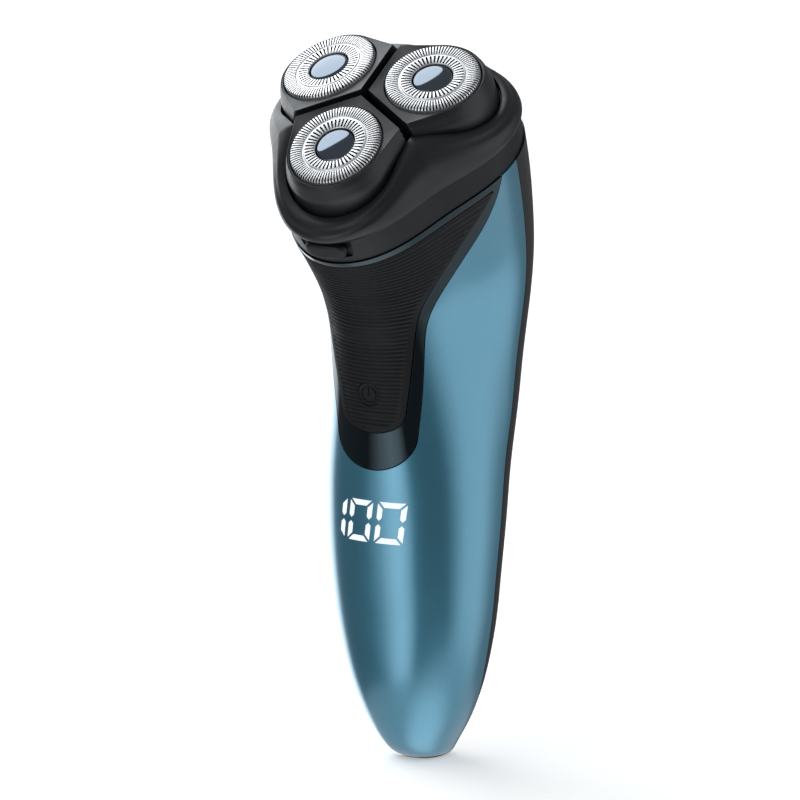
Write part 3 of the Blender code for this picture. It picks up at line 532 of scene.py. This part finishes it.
def column_curve(rows, column=1):
    """Samples over LEVELS of a smooth curve through one column of a table, evened out."""
    x = np.array([row[0] for row in rows], float)
    y = np.array([row[column] for row in rows], float)
    step = np.diff(x)
    slope = np.diff(y) / step
    tangent = np.empty_like(y)
    tangent[0] = slope[0]
    tangent[-1] = slope[-1]
    for i in range(1, len(x) - 1):
        if slope[i - 1] * slope[i] <= 0:
            tangent[i] = 0.0
            continue
        near = 2 * step[i] + step[i - 1]
        far = step[i] + 2 * step[i - 1]
        tangent[i] = (near + far) / (near / slope[i - 1] + far / slope[i])
    at = np.clip(LEVELS, x[0], x[-1])
    i = np.clip(np.searchsorted(x, at, "right") - 1, 0, len(x) - 2)
    t = (at - x[i]) / step[i]
    exact = y[i] * (1 + 2 * t) * (1 - t) ** 2 + y[i + 1] * t * t * (3 - 2 * t)
    exact += step[i] * (tangent[i] * t * (1 - t) ** 2 + tangent[i + 1] * t * t * (t - 1))
    reach = np.clip(np.minimum(LEVELS * 0.22, (HANDLE_TOP - LEVELS) * 0.5), 0, SOFTEN)
    offsets = np.linspace(-2, 2, 9)
    weights = np.exp(-offsets**2 / 2)
    even = sum(w * np.interp(LEVELS + o * reach, LEVELS, exact) for o, w in zip(offsets, weights))
    return even / weights.sum()


SKIN = [column_curve(STATIONS, column) for column in range(1, 8)]
PARTING_CURVE = column_curve(PARTING)
BEZEL_CURVE = column_curve(BEZEL_SIDE)
GRIP_CURVE = column_curve(GRIP_SIDE)


def curve(samples, height):
    return np.interp(height, LEVELS, samples)


def skin(turn, height, depth=0.0):
    """Points of the handle's skin at angles from the front line and heights, at a depth below it.

    Heights from -1 to 0 cover the flat foot, from its middle to its edge.
    """
    turn, height, depth = np.broadcast_arrays(*[np.asarray(v, float) for v in (turn, height, depth)])
    inward = 1.0 + np.minimum(height, 0.0)
    at = np.maximum(height, 0.0)
    y, tilt, half, front, rear, lobe, power = [curve(samples, at) for samples in SKIN]
    across = np.sin(np.radians(turn))
    along = -np.cos(np.radians(turn))
    length = np.where(along > 0, rear, front)
    oval = ((np.abs(across) / half) ** power + (np.abs(along) / length) ** power) ** (-1 / power)
    reach = (oval * (1 + lobe * np.cos(3 * np.radians(turn))) - depth) * inward
    tilt = np.radians(tilt)
    lift = depth * np.exp(-at / 3)
    return np.stack((reach * across, y + reach * along * np.cos(tilt),
                     at + lift + reach * along * np.sin(tilt)), -1)


def gap_turn(height):
    """The turn in degrees that the seam takes up along the skin."""
    return np.degrees(SEAM / np.abs(skin(90.0, height)[..., 0]))


def sheet(rows):
    """Arrays of turns, heights and depths from rows of equal length, each three sequences."""
    return tuple(np.array([row[k] for row in rows], float) for k in range(3))


def mirrored(cells):
    turns, heights, depths = cells
    return -turns[:, ::-1], heights[:, ::-1], depths[:, ::-1]


def patch(name, sheets, look, inner=WALL, bevel=0.12):
    """A curved closed wall over sheets of the skin; the depths in a sheet give its outer side."""
    corners = np.concatenate([np.stack([part.ravel() for part in cells], -1) for cells in sheets])
    faces = []
    start = 0
    for cells in sheets:
        rows, columns = cells[0].shape
        index = start + np.arange(rows * columns).reshape(rows, columns)
        around = (index[:-1, :-1], index[:-1, 1:], index[1:, 1:], index[1:, :-1])
        faces.append(np.stack(around, -1).reshape(-1, 4))
        start += rows * columns
    places = np.round(skin(corners[:, 0], corners[:, 1]), 3)
    _, first, index = np.unique(places, axis=0, return_index=True, return_inverse=True)
    faces = index.reshape(-1)[np.concatenate(faces)]
    turns, heights, depths = corners[first].T
    count = len(first)
    points = np.concatenate((skin(turns, heights, depths), skin(turns, heights, inner)))
    outside = [tuple(dict.fromkeys(face)) for face in faces.tolist()]
    outside = [face for face in outside if len(face) > 2]
    return build(name, points.tolist(), thickened(outside, count), look, bevel=bevel)


# ---------------------------------------------------------------- handle casing

HALF_COLUMNS = 44


def front_shell():
    """Pearl front wall: whole below the bezel's tongue, then an arm up each side of it."""
    drop = BEZEL_SHOULDER - BEZEL_BOTTOM + SEAM
    low = [FOOT_TOP + 0.3, 1.2, 1.8, 2.6, 3.5] + spread(4.5, BEZEL_BOTTOM - SEAM, 70)
    rows = [(height, 0.0) for height in low]
    side = curve(BEZEL_CURVE, BEZEL_SHOULDER) + gap_turn(BEZEL_SHOULDER)
    for a in spread(0, 90, 30)[1:]:
        a = math.radians(a)
        rows.append((BEZEL_SHOULDER - drop * math.cos(a), side * math.sin(a)))
    for height in spread(BEZEL_SHOULDER, HANDLE_TOP, 66)[1:]:
        rows.append((height, curve(BEZEL_CURVE, height) + gap_turn(height)))
    cells = []
    for height, start in rows:
        end = curve(PARTING_CURVE, height) - gap_turn(height) / 2
        turns = np.linspace(start, end, HALF_COLUMNS)
        cells.append((turns, np.full(HALF_COLUMNS, height), np.zeros(HALF_COLUMNS)))
    cells = sheet(cells)
    return patch("front_shell_skin", [cells, mirrored(cells)], "pearl_blue")


SOCKET_HEIGHT = 11.0
SOCKET_RADIUS = 3.6


def rear_shell():
    """Satin rear wall with the foot and the charging opening."""
    columns = 90

    def row(height, low, high, count):
        return np.linspace(low, high, count), np.full(count, height), np.zeros(count)

    def edge(height):
        return curve(PARTING_CURVE, height) + gap_turn(height) / 2

    heights = [0.0, FOOT_TOP, 1.2, 2.2, 3.4] + spread(4.5, HANDLE_TOP, 132)
    rear = sheet([row(h, edge(h), 360 - edge(h), columns) for h in heights])
    front = sheet([row(h, -edge(h), edge(h), 41) for h in (0.0, FOOT_TOP)])
    soles = []
    for strip in (rear, front):
        turns = strip[0][0]
        flat = np.zeros(len(turns))
        soles.append(sheet([(turns, flat + share, flat) for share in (-1.0, -0.5, 0.0)]))
    shell = patch("rear_shell_skin", [rear, front, *soles], "satin_black", bevel=0.0)
    opening = shift(0, 12, SOCKET_HEIGHT) @ lean(90)
    combine(shell, guide(*rod(SOCKET_RADIUS + SEAM, 0, 12), opening), "DIFFERENCE")
    round_edges(shell, 0.12)
    return shell


def band_foot(turn):
    """Height of the bezel's edge above the grip; the band narrows towards the sides."""
    return HANDLE_TOP - BAND_HEIGHT * (1 - 0.3 * (turn / GRIP_CORNER) ** 2)


def panel_bezel():
    """Gloss frame around the grip: band above it, strips beside it and a tongue below."""
    inner = []
    outer = []
    for a in spread(0, 90, 30):
        a = math.radians(a)
        s, c = math.sin(a), math.cos(a)
        inner.append((GRIP_TURN * s, GRIP_SHOULDER - (GRIP_SHOULDER - GRIP_BOTTOM) * c))
        outer.append((BEZEL_TURN * s, BEZEL_SHOULDER - (BEZEL_SHOULDER - BEZEL_BOTTOM) * c))
    corner = band_foot(GRIP_CORNER)
    for t in spread(0, 1, 90)[1:]:
        low = GRIP_SHOULDER + (corner - GRIP_SHOULDER) * t
        high = BEZEL_SHOULDER + (HANDLE_TOP - BEZEL_SHOULDER) * t
        inner.append((curve(GRIP_CURVE, low) if t < 1 else GRIP_CORNER, low))
        outer.append((curve(BEZEL_CURVE, high) if t < 1 else BEZEL_CORNER, high))
    for t in spread(1, 0, 60)[1:]:
        inner.append((GRIP_CORNER * t, band_foot(GRIP_CORNER * t)))
        outer.append((BEZEL_CORNER * t, HANDLE_TOP))
    share = np.linspace(0, 1, 13)
    rows = []
    for (a, h), (b, k) in zip(inner, outer):
        rows.append((a + (b - a) * share, h + (k - h) * share, np.zeros(len(share))))
    cells = sheet(rows)
    return patch("panel_bezel_skin", [cells, mirrored(cells)], "gloss_black", inner=1.7, bevel=0.14)


RIB_PITCH = 0.95
RIB_RISE = 0.24
RIB_FADE = (0.9, 2.2)  # distance from the border over which the ribs rise
RIB_FOOT = (1.2, 2.4)  # the same above the grip's lower end
REST_HEIGHT = 107.2  # middle of the thumb rest, where the ribs are nearly flat
REST_TALL = 2.6
REST_TURN = 4.0
REST_FADE = (12.0, 24.0)  # turns off the rest's middle over which it ends
REST_SHARE = 0.92  # how much of the ribs it takes away
GRIP_PROUD = -0.15
BUTTON_HEIGHT = 87.4
BUTTON_RADIUS = 2.8
BUTTON = shift(0, float(skin(0, 88.9)[1]), BUTTON_HEIGHT) @ lean(90 + 8)
# Length along the skin's front line at each of LEVELS.
FRONT_STEPS = np.linalg.norm(np.diff(skin(0.0, LEVELS), axis=0), axis=1)
FRONT_RUN = np.concatenate(([0.0], np.cumsum(FRONT_STEPS)))


def smoothstep(value, low, high):
    t = np.clip((value - low) / (high - low), 0, 1)
    return t * t * (3 - 2 * t)


def rib_depth(turn, height, edge, row):
    """Depth of the ribbed rubber: fine ribs that fade at its border and over a smooth thumb rest."""
    phase = np.interp(row, LEVELS, FRONT_RUN) / RIB_PITCH
    wave = 0.5 - 0.5 * np.cos(2 * np.pi * phase)
    radius = np.abs(skin(90.0, row)[..., 0])
    margin = np.radians(edge - np.abs(turn)) * radius
    share = smoothstep(margin, *RIB_FADE)
    share = share * smoothstep(row, GRIP_BOTTOM + RIB_FOOT[0], GRIP_BOTTOM + RIB_FOOT[1])
    across = smoothstep(-np.abs(turn - REST_TURN), -REST_FADE[1], -REST_FADE[0])
    rest = np.exp(-((height - REST_HEIGHT) / REST_TALL) ** 2) * across
    share = share * (1 - REST_SHARE * rest)
    return GRIP_PROUD + RIB_RISE * wave * share


def grip_panel():
    """Ribbed rubber grip inside the bezel, with an opening for the power button."""
    columns = 46
    t = np.linspace(0, 1, columns)
    top = band_foot(GRIP_CORNER) - SEAM
    sag = band_foot(t * GRIP_CORNER) - band_foot(GRIP_CORNER)
    rows = []
    for a in spread(0, 90, 26):
        a = math.radians(a)
        edge = (GRIP_TURN - gap_turn(GRIP_SHOULDER)) * math.sin(a)
        height = GRIP_SHOULDER - (GRIP_SHOULDER - GRIP_BOTTOM - SEAM) * math.cos(a)
        rows.append((edge, height))
    for height in spread(GRIP_SHOULDER, top, 330)[1:]:
        rows.append((min(curve(GRIP_CURVE, height) - gap_turn(height), GRIP_CORNER - 0.9), height))
    cells = []
    for edge, height in rows:
        rise = max(0.0, (height - 105) / (top - 105)) ** 1.5
        turns = edge * t
        heights = height + rise * sag
        cells.append((turns, heights, rib_depth(turns, heights, edge, height)))
    cells = sheet(cells)
    panel = patch("grip_panel_skin", [cells, mirrored(cells)], "grip_rubber", inner=1.6, bevel=0.0)
    combine(panel, guide(*rod(BUTTON_RADIUS + 0.08, -4, 4, 96), BUTTON), "DIFFERENCE")
    return panel


def skin_turn(x, height):
    """The turn at which the skin's front has this x, at a height."""
    turns = np.linspace(-60, 60, 481)
    return float(np.interp(x, skin(turns, height)[:, 0], turns))


DIGIT_LOW = 53.5
DIGIT_TALL = 8.4  # between the middles of the top and bottom bars
DIGIT_BAR = 1.3
DIGIT_GAP = 0.85
DIGIT_SLANT = math.tan(math.radians(9.3))
DIGIT_DEPTHS = (-0.04, 0.1)  # of a bar's face and back; less than 0 is proud of the wall
DIGIT_PLACES = ((-7.14, 4.95), (0.41, 5.8))  # left bar and width of each nought
ONE_PLACE = -9.5
THIN = 0.03


def digit_bars():
    """Each bar's ends along its middle line, its outward side, and which of its ends are mitred."""
    middle = DIGIT_TALL / 2
    low = DIGIT_GAP / 2 - DIGIT_BAR / 2
    high = DIGIT_TALL - low

    def uprights(x, outward):
        yield (x, low), (x, middle - DIGIT_GAP / 2), (outward, 0), (True, False)
        yield (x, middle + DIGIT_GAP / 2), (x, high), (outward, 0), (False, True)

    yield from uprights(ONE_PLACE, 1)
    for start, wide in DIGIT_PLACES:
        yield from uprights(start, -1)
        yield from uprights(start + wide, 1)
        for height, outward in ((0, -1), (DIGIT_TALL, 1)):
            yield (start + low, height), (start + wide - low, height), (0, outward), (True, True)


def battery_digits():
    """The lit charge figure on the front wall: seven-bar numerals a hair proud of the paint."""
    half = DIGIT_BAR / 2

    def span(far, mitred):
        """Lowest and highest reach across a bar, outwards, at a distance from one end."""
        if mitred:
            return half - min(DIGIT_BAR, far + THIN), half
        return -min(half, far + THIN), min(half, far + THIN)

    points = []
    faces = []
    for start, end, outward, mitres in digit_bars():
        a = Vector(start)
        run = Vector(end) - a
        rings = []
        for t in spread(0, 1, 32):
            from_start = span(t * run.length, mitres[0])
            from_end = span((1 - t) * run.length, mitres[1])
            low = max(from_start[0], from_end[0])
            high = min(from_start[1], from_end[1])
            ring = []
            face, back = DIGIT_DEPTHS
            for reach, depth in ((low, face), (high, face), (high, back), (low, back)):
                spot = a + run * t + Vector(outward) * reach
                height = DIGIT_LOW + spot.y
                turn = skin_turn(spot.x + spot.y * DIGIT_SLANT, height)
                ring.append(skin(turn, height, depth).tolist())
            rings.append(ring)
        bar_points, bar_faces = loft(rings)
        faces += [tuple(len(points) + v for v in face) for face in bar_faces]
        points += bar_points
    return build("battery_digits", points, faces, "digit_white")


SIGN_RADIUS = 1.85
SIGN_LINE = 0.30
SIGN_OPENING = 26.0  # half of the ring's gap at the top
SIGN_BAR = (-0.3, 2.3)  # lowest and highest point of the bar
SIGN_DEPTH = 0.22
DISH_DEPTH = 0.14
DISH_EDGE = (2.2, 2.6)


def power_button():
    """Dished rubber button with the power sign sunk in its face."""
    radii = np.linspace(0, BUTTON_RADIUS - 0.2, 60)
    sides = 168
    angles = np.linspace(0, 2 * np.pi, sides, endpoint=False)
    rings = []
    for radius in radii:
        x = radius * np.cos(angles)
        y = radius * np.sin(angles)
        off_top = np.degrees(np.abs(np.arctan2(x, y)))
        ring = np.abs(radius - SIGN_RADIUS) - SIGN_LINE / 2
        ring = np.maximum(ring, np.radians(SIGN_OPENING - off_top) * SIGN_RADIUS)
        bar = np.maximum(np.abs(x) - SIGN_LINE / 2, np.maximum(SIGN_BAR[0] - y, y - SIGN_BAR[1]))
        groove = SIGN_DEPTH * smoothstep(-np.minimum(ring, bar), -0.06, 0.06)
        dish = DISH_DEPTH * smoothstep(-radius, -DISH_EDGE[1], -DISH_EDGE[0]) + 0.02
        z = -dish - groove
        rings.append(np.stack((x, y, z), -1).tolist())
    edge = ((BUTTON_RADIUS - 0.12, -0.06), (BUTTON_RADIUS - 0.03, -0.12), (BUTTON_RADIUS, -0.24),
            (BUTTON_RADIUS, -1.5), (1.1, -1.5), (1.1, -4.6))
    for radius, z in edge:
        rings.append([(radius * math.cos(a), radius * math.sin(a), z) for a in angles])
    points, faces = loft(rings, capped=False)
    faces.append(tuple(range(len(points) - sides, len(points))))
    return build("power_button_skin", points, faces, "grip_rubber", BUTTON)


# ---------------------------------------------------------------- shaving unit frames

HEAD_CENTRE = (0.0, -22.0, 156.0)
HEAD_LEAN = 32.5
RIM_LEAN = 31.0
RIM_SHIFT = -0.9
RIM_DEPTH = 15.4
RIM_RADIUS = 28.0
RIM_LOBE = 4.25
BULGE = 0.6
COLLAR_INSET = 0.4
COLLAR_WALL = 2.4
TUCK_DEPTHS = (2.35, 3.9)  # outside and inside of the collar's tail within the handle's walls
TUCK_HEIGHT = HANDLE_TOP - 6
GUARD_CIRCLE = 15.8
GUARD_SPLAY = 7.5
GUARD_RADIUS = 10.85
DOME_RADIUS = 4.45
BORE_RADIUS = 11.2
LOBE_ANGLES = (-90.0, 30.0, 150.0)
ARM_GAP = 0.9
HINGE_OUT = 25.6
HINGE_BORE = 0.8
KNUCKLE = 1.35
PETAL_BOTTOM = -9.6
OPENING_MIDDLE = 14.7
OPENING_RADIUS = 14.2
OPENING_CORNER = 17.7
BOWL_WIDEST = 0.3
ROUND = 240  # columns round the shaving unit

HEAD = shift(*HEAD_CENTRE) @ lean(HEAD_LEAN)
RIM = HEAD @ shift(0, RIM_SHIFT, -RIM_DEPTH) @ lean(RIM_LEAN - HEAD_LEAN)
RELEASE = HEAD @ shift(0, -32.3, -17.4)
UPRIGHT = lean(90)
SIDEWAYS = Matrix(((0, 0, 1, 0), (1, 0, 0, 0), (0, 1, 0, 0), (0, 0, 0, 1)))
HINGE = RIM @ shift(0, HINGE_OUT, 0) @ Matrix.Rotation(math.radians(90), 4, "Y")


def lobe_frame(angle):
    """Frame of one shaving head: X outward, Z along its own axis."""
    turn = Matrix.Rotation(math.radians(angle), 4, "Z")
    splay = Matrix.Rotation(math.radians(GUARD_SPLAY), 4, "Y")
    return HEAD @ turn @ shift(GUARD_CIRCLE, 0, 0) @ splay


def three_lobed(angle):
    return math.cos(3 * math.radians(angle))


def rim_radius(turn):
    return RIM_RADIUS + RIM_LOBE * three_lobed(turn)


def rim_level(turn):
    v = -rim_radius(turn) * math.cos(math.radians(turn))
    return -RIM_DEPTH - math.tan(math.radians(HEAD_LEAN - RIM_LEAN)) * v


def knuckle_solid(low, high, side):
    """Barrel about the hinge axis with a web to the wall, above the parting plane or below it."""
    outline = [(KNUCKLE * math.cos(math.radians(a)), side * KNUCKLE * math.sin(math.radians(a)))
               for a in spread(-180, 90, 48)]
    outline += [(-2.9, side * KNUCKLE), (-2.9, side * 0.35)]
    if side < 0:
        outline = outline[::-1]
    return guide(*prism(outline, low, high), RIM @ shift(0, HINGE_OUT, 0) @ SIDEWAYS)


# ---------------------------------------------------------------- neck collar and release


def neck_collar():
    """Matte neck between the handle's walls and the unit, notched at the front for the release."""
    turns = np.linspace(0, 360, ROUND, endpoint=False)
    rise = np.array(HEAD.to_3x3() @ Vector((0, 0, SEAM)))

    def upper(inset):
        ring = []
        for turn in turns:
            reach = rim_radius(turn) - inset
            a = math.radians(turn)
            ring.append(RIM @ (Vector((reach * math.sin(a), -reach * math.cos(a), -SEAM / 2)) * MM) / MM)
        return np.array(ring)

    def lower(depth):
        return skin(turns, HANDLE_TOP, depth) + rise

    top = upper(COLLAR_INSET)
    foot = lower(COLLAR_INSET)
    wall = [foot + (top - foot) * t for t in spread(0, 1, 6)]
    inner = COLLAR_INSET + COLLAR_WALL
    near, far = TUCK_DEPTHS
    rings = wall + [upper(inner), lower(far), skin(turns, TUCK_HEIGHT, far),
                    skin(turns, TUCK_HEIGHT, near), lower(near)]
    points, faces = loft([ring.tolist() for ring in rings], loop=True)
    collar = build("neck_collar_skin", points, faces, "matte_black")
    notch = ((-5.6, -2.3), (5.6, -2.3), (6.4, -0.6), (6.9, 4.0), (-6.9, 4.0), (-6.4, -0.6))
    combine(collar, guide(*prism(notch, -1.7, 4.0), RELEASE @ UPRIGHT), "DIFFERENCE")
    combine(collar, guide(*block((-2.4, -1.5, -1.5), (2.4, 8.5, 0.3)), RELEASE), "DIFFERENCE")
    combine(collar, knuckle_solid(-3.6, 3.6, -1), "UNION")
    combine(collar, guide(*rod(HINGE_BORE, -9, 9), HINGE), "DIFFERENCE")
    round_edges(collar, 0.12)
    return collar


TAB_HALF = 5.2
TAB_ABOVE = 2.0
TAB_BELOW = 1.9
TAB_CURVE = 0.016  # how the face bends back towards its ends


def release_button():
    """Thumb tab with a domed face and a rounded border, and its stem."""
    profile = ((-0.97, 0.55, 0.55), (-0.93, 0.78, 0.74), (-0.85, 0.9, 0.87), (-0.7, 0.97, 0.96),
               (-0.5, 1.0, 1.0), (0.5, 1.0, 1.0))
    rings = []
    for y, wide, tall in profile:
        ring = []
        for a in spread(0, 360, 96)[:-1]:
            c = math.cos(math.radians(a))
            s = math.sin(math.radians(a))
            x = TAB_HALF * wide * math.copysign(abs(c) ** 0.6, c)
            z = tall * math.copysign(abs(s) ** 0.7, s) * (TAB_ABOVE if s > 0 else TAB_BELOW)
            ring.append((x, y + TAB_CURVE * x * x, z))
        rings.append(ring)
    tab = build("release_button_skin", *loft(rings), "matte_black", RELEASE)
    combine(tab, guide(*block((-1.9, 0.2, -1.2), (1.9, 3.2, 0.0)), RELEASE), "UNION")
    round_edges(tab, 0.08)
    return tab


# ---------------------------------------------------------------- cover of the shaving unit


def opening_radius(turn):
    """Reach of the three-leaved opening: round about each head, straight to the corner between two."""
    off = abs((turn + 60) % 120 - 60)
    d = math.radians(off)
    along = OPENING_CORNER * 0.5
    across = OPENING_CORNER * math.sin(math.pi / 3)
    tangent = math.acos(OPENING_RADIUS / math.hypot(along - OPENING_MIDDLE, across))
    corner = Vector((along, across))
    lead = corner - Vector((OPENING_MIDDLE, 0))
    bearing = math.atan2(lead.y, lead.x) - tangent
    touch = Vector((OPENING_MIDDLE + OPENING_RADIUS * math.cos(bearing),
                    OPENING_RADIUS * math.sin(bearing)))
    if d < math.atan2(touch.y, touch.x):
        inside = OPENING_RADIUS**2 - (OPENING_MIDDLE * math.sin(d)) ** 2
        return OPENING_MIDDLE * math.cos(d) + math.sqrt(inside)
    run = corner - touch
    return (touch.x * run.y - touch.y * run.x) / (math.cos(d) * run.y - math.sin(d) * run.x)


def opening_level(radius):
    return -2.7 - (radius - OPENING_CORNER) * 0.69


FLUTE = 0.35  # depth of the shallow hollow that runs round the cover below its lip
FLUTE_PLACE = 0.5  # its place and width, as shares of the way from the wall to the lip
FLUTE_SPREAD = 0.17


def head_shell():
    """Rounded three-cornered cover with an opening for the three heads, and two hinge knuckles."""
    turns = spread(0, 360, ROUND)[:-1]

    def foot(turn):
        return rim_level(turn) + SEAM / 2

    def ring(level):
        points = []
        for turn in turns:
            reach, height, offset = level(turn)
            a = math.radians(turn)
            points.append((reach * math.sin(a), offset - reach * math.cos(a), height))
        return points

    def rim(share, inset):
        def level(turn):
            rise = BOWL_WIDEST * (opening_level(opening_radius(turn)) - foot(turn))
            swell = BULGE * math.sin(math.radians(90 * share))
            return rim_radius(turn) + swell - inset, foot(turn) + rise * share, RIM_SHIFT
        return level

    def bowl(share, inset):
        def level(turn):
            inner = opening_radius(turn)
            top = opening_level(inner) - inset
            low = foot(turn) + BOWL_WIDEST * (opening_level(inner) - foot(turn))
            wall = rim_radius(turn) + BULGE - inset
            c = math.cos(math.radians(90 * share)) ** 0.9
            s = math.sin(math.radians(90 * share)) ** 0.9
            hollow = FLUTE * math.exp(-((share - FLUTE_PLACE) / FLUTE_SPREAD) ** 2) * (inset == 0)
            return (inner + (wall - inner) * c - hollow * 0.7, low + (top - low) * s - hollow * 0.7,
                    RIM_SHIFT * c)
        return level

    levels = [rim(share, 0.0) for share in spread(0, 1, 6)[:-1]]
    levels += [bowl(share, 0.0) for share in spread(0, 1, 30)]
    levels += [bowl(share, 1.5) for share in (1, 0.75, 0.5, 0.25, 0)] + [rim(0, 1.6)]
    points, faces = loft([ring(level) for level in levels], loop=True)
    shell = build("head_shell_skin", points, faces, "satin_black", HEAD)
    for low, high in ((4.0, 7.2), (-7.2, -4.0)):
        combine(shell, knuckle_solid(low, high, 1), "UNION")
    combine(shell, guide(*rod(HINGE_BORE, -9, 9), HINGE), "DIFFERENCE")
    round_edges(shell, 0.16, 3)
    return shell


# ---------------------------------------------------------------- shaving heads

# Depth below the face and reach of a petal's round side.
PETAL_REACH = ((0.8, 11.75), (1.9, 12.3), (4.5, 13.25), (9.6, 13.7))
PETAL_STEPS = (0.8, 1.0, 1.3, 1.6, 1.9, 2.4, 3.0, 3.7, 4.5, 5.5, 7.0)
PETAL_ROUND = 76.5  # turn at which the round side ends
ARM_START = 61.0  # turn from which a straight side may cut the outline


def petal_reach(depth):
    """Reach of a petal's round side at a depth below its face."""
    return float(np.interp(depth, [row[0] for row in PETAL_REACH], [row[1] for row in PETAL_REACH]))


def petal_radius(turn, depth):
    """Outline of a petal about its head's axis: round outside, straight on two sides inside."""
    arc = petal_reach(depth)
    arm = (GUARD_CIRCLE - ARM_GAP / math.sin(math.pi / 3)) * math.sin(math.pi / 3) - 0.125 * depth
    turn = abs(turn)
    reach = arc
    if turn > PETAL_ROUND:
        reach = arc / max(0.05, math.cos(math.radians(turn - PETAL_ROUND)))
    if turn > ARM_START:
        reach = min(reach, arm / math.cos(math.radians(turn - 150)))
    return reach


def petal(number, place):
    """One satin mount: a thin step round its guard, then a skirt that falls away to the cover."""
    turns = spread(-180, 180, 180)[:-1]

    def outline(depth):
        ring = []
        for turn in turns:
            reach = petal_radius(turn, depth)
            a = math.radians(turn)
            ring.append((reach * math.cos(a), reach * math.sin(a), -depth))
        return ring

    def circle(radius, level):
        angles = [math.radians(t) for t in turns]
        return [(radius * math.cos(a), radius * math.sin(a), level) for a in angles]

    rings = [circle(BORE_RADIUS, PETAL_BOTTOM), circle(BORE_RADIUS, -1.15),
             circle(BORE_RADIUS + 0.1, -1.0), circle(BORE_RADIUS + 0.32, -1.0)]
    rings += [outline(depth) for depth in (*PETAL_STEPS, -PETAL_BOTTOM)]
    return build(f"petal_{number}_skin", *loft(rings, loop=True), "satin_black", place, bevel=0.1)


# Edges between a guard's cells within one repeat, in degrees, and the cells that each row of slots
# opens.
REPEATS = 45
CELL_EDGES = (-1.0, 0.1, 1.0, 3.0, 3.9, 5.0)
OPEN_CELLS = {"outer": (0, 1, 3, 4), "inner": (1, 2, 3), "": ()}


def guard(number, place):
    """Steel cup whose face is cut by a dense outer ring and an inner ring of radial slots."""
    angles = [math.radians(360 / REPEATS * j + a) for j in range(REPEATS) for a in CELL_EDGES]
    steps = len(angles)
    # radius, outer height and inner height of each ring of the wall, and which row of slots cuts
    # the band that follows it
    wall = ((DOME_RADIUS + 0.32, -0.62, -0.8, ""), (DOME_RADIUS + 0.36, -0.28, -0.78, ""),
            (DOME_RADIUS + 0.5, -0.16, -0.75, "inner"), (5.25, -0.1, -0.7, "inner"),
            (5.9, -0.05, -0.68, "inner"), (6.6, -0.02, -0.66, "inner"), (7.2, -0.02, -0.65, ""),
            (7.4, -0.06, -0.68, ""), (7.6, -0.24, -0.75, ""), (7.8, -0.26, -0.75, ""),
            (8.0, -0.1, -0.75, "outer"),
            (8.8, -0.04, -0.7, "outer"), (9.7, -0.06, -0.7, "outer"), (10.3, -0.12, -0.75, "outer"),
            (10.65, -0.24, -0.85, "outer"), (GUARD_RADIUS, -0.6, -1.1, ""), (GUARD_RADIUS, -3.0, -3.0, ""))
    points = []
    for radius, high, _, _ in wall:
        points += [(radius * math.cos(a), radius * math.sin(a), high) for a in angles]
    count = len(points)
    for i, (radius, _, low, _) in enumerate(wall):
        inner = radius if i < len(wall) - 3 else radius - 0.45
        points += [(inner * math.cos(a), inner * math.sin(a), low) for a in angles]
    faces = []
    for i in range(len(wall) - 1):
        band = wall[i][3]
        for j in range(steps):
            if j % len(CELL_EDGES) in OPEN_CELLS[band]:
                continue
            k = (j + 1) % steps
            faces.append((i * steps + j, (i + 1) * steps + j, (i + 1) * steps + k, i * steps + k))
    closed = thickened(faces, count)
    cup = build(f"guard_{number}_skin", points, closed, "guard_steel", place, smooth=28)
    # The inner faces and slot walls take the dark blade steel as painted shade, standing in for the shadow
    # inside the cup.
    cup.data.materials.append(LOOKS["blade_steel"])
    for face in cup.data.polygons[len(faces):]:
        face.material_index = 1
    return cup


def guard_dome(number, place):
    """Polished cap in the middle of a guard."""
    profile = [(0.0, -1.25), (DOME_RADIUS, -1.25), (DOME_RADIUS, -0.62)]
    profile += [(DOME_RADIUS * math.cos(math.radians(a)), -0.6 + 0.75 * math.sin(math.radians(a)))
                for a in range(4, 90, 4)]
    profile.append((0.0, 0.15))
    return build(f"guard_dome_{number}_skin", *turned(profile, 128), "cap_steel", place)


# ---------------------------------------------------------------- assembly

dress_cad_nodes()
settle(front_shell(), "handle", "pearl_blue", "front_shell")
settle(rear_shell(), "handle", "satin_black", "rear_shell")
settle(panel_bezel(), "handle", "gloss_black", "panel_bezel")
settle(grip_panel(), "handle", "grip_rubber", "grip_panel")
settle(battery_digits(), "handle", "white_nylon")
settle(neck_collar(), "handle", "matte_black", "neck_collar")
settle(power_button(), "power_button", "grip_rubber", "power_button")
settle(release_button(), "release_button", "matte_black", "release_button")
settle(head_shell(), "shaving_unit", "satin_black", "head_shell")
for number, angle in enumerate(LOBE_ANGLES, 1):
    place = lobe_frame(angle)
    settle(petal(number, place), f"petal_{number}", "satin_black", f"petal_{number}")
    settle(guard(number, place), f"guard_{number}", "guard_steel", f"guard_{number}")
    settle(guard_dome(number, place), f"guard_{number}", "cap_steel", f"guard_dome_{number}")
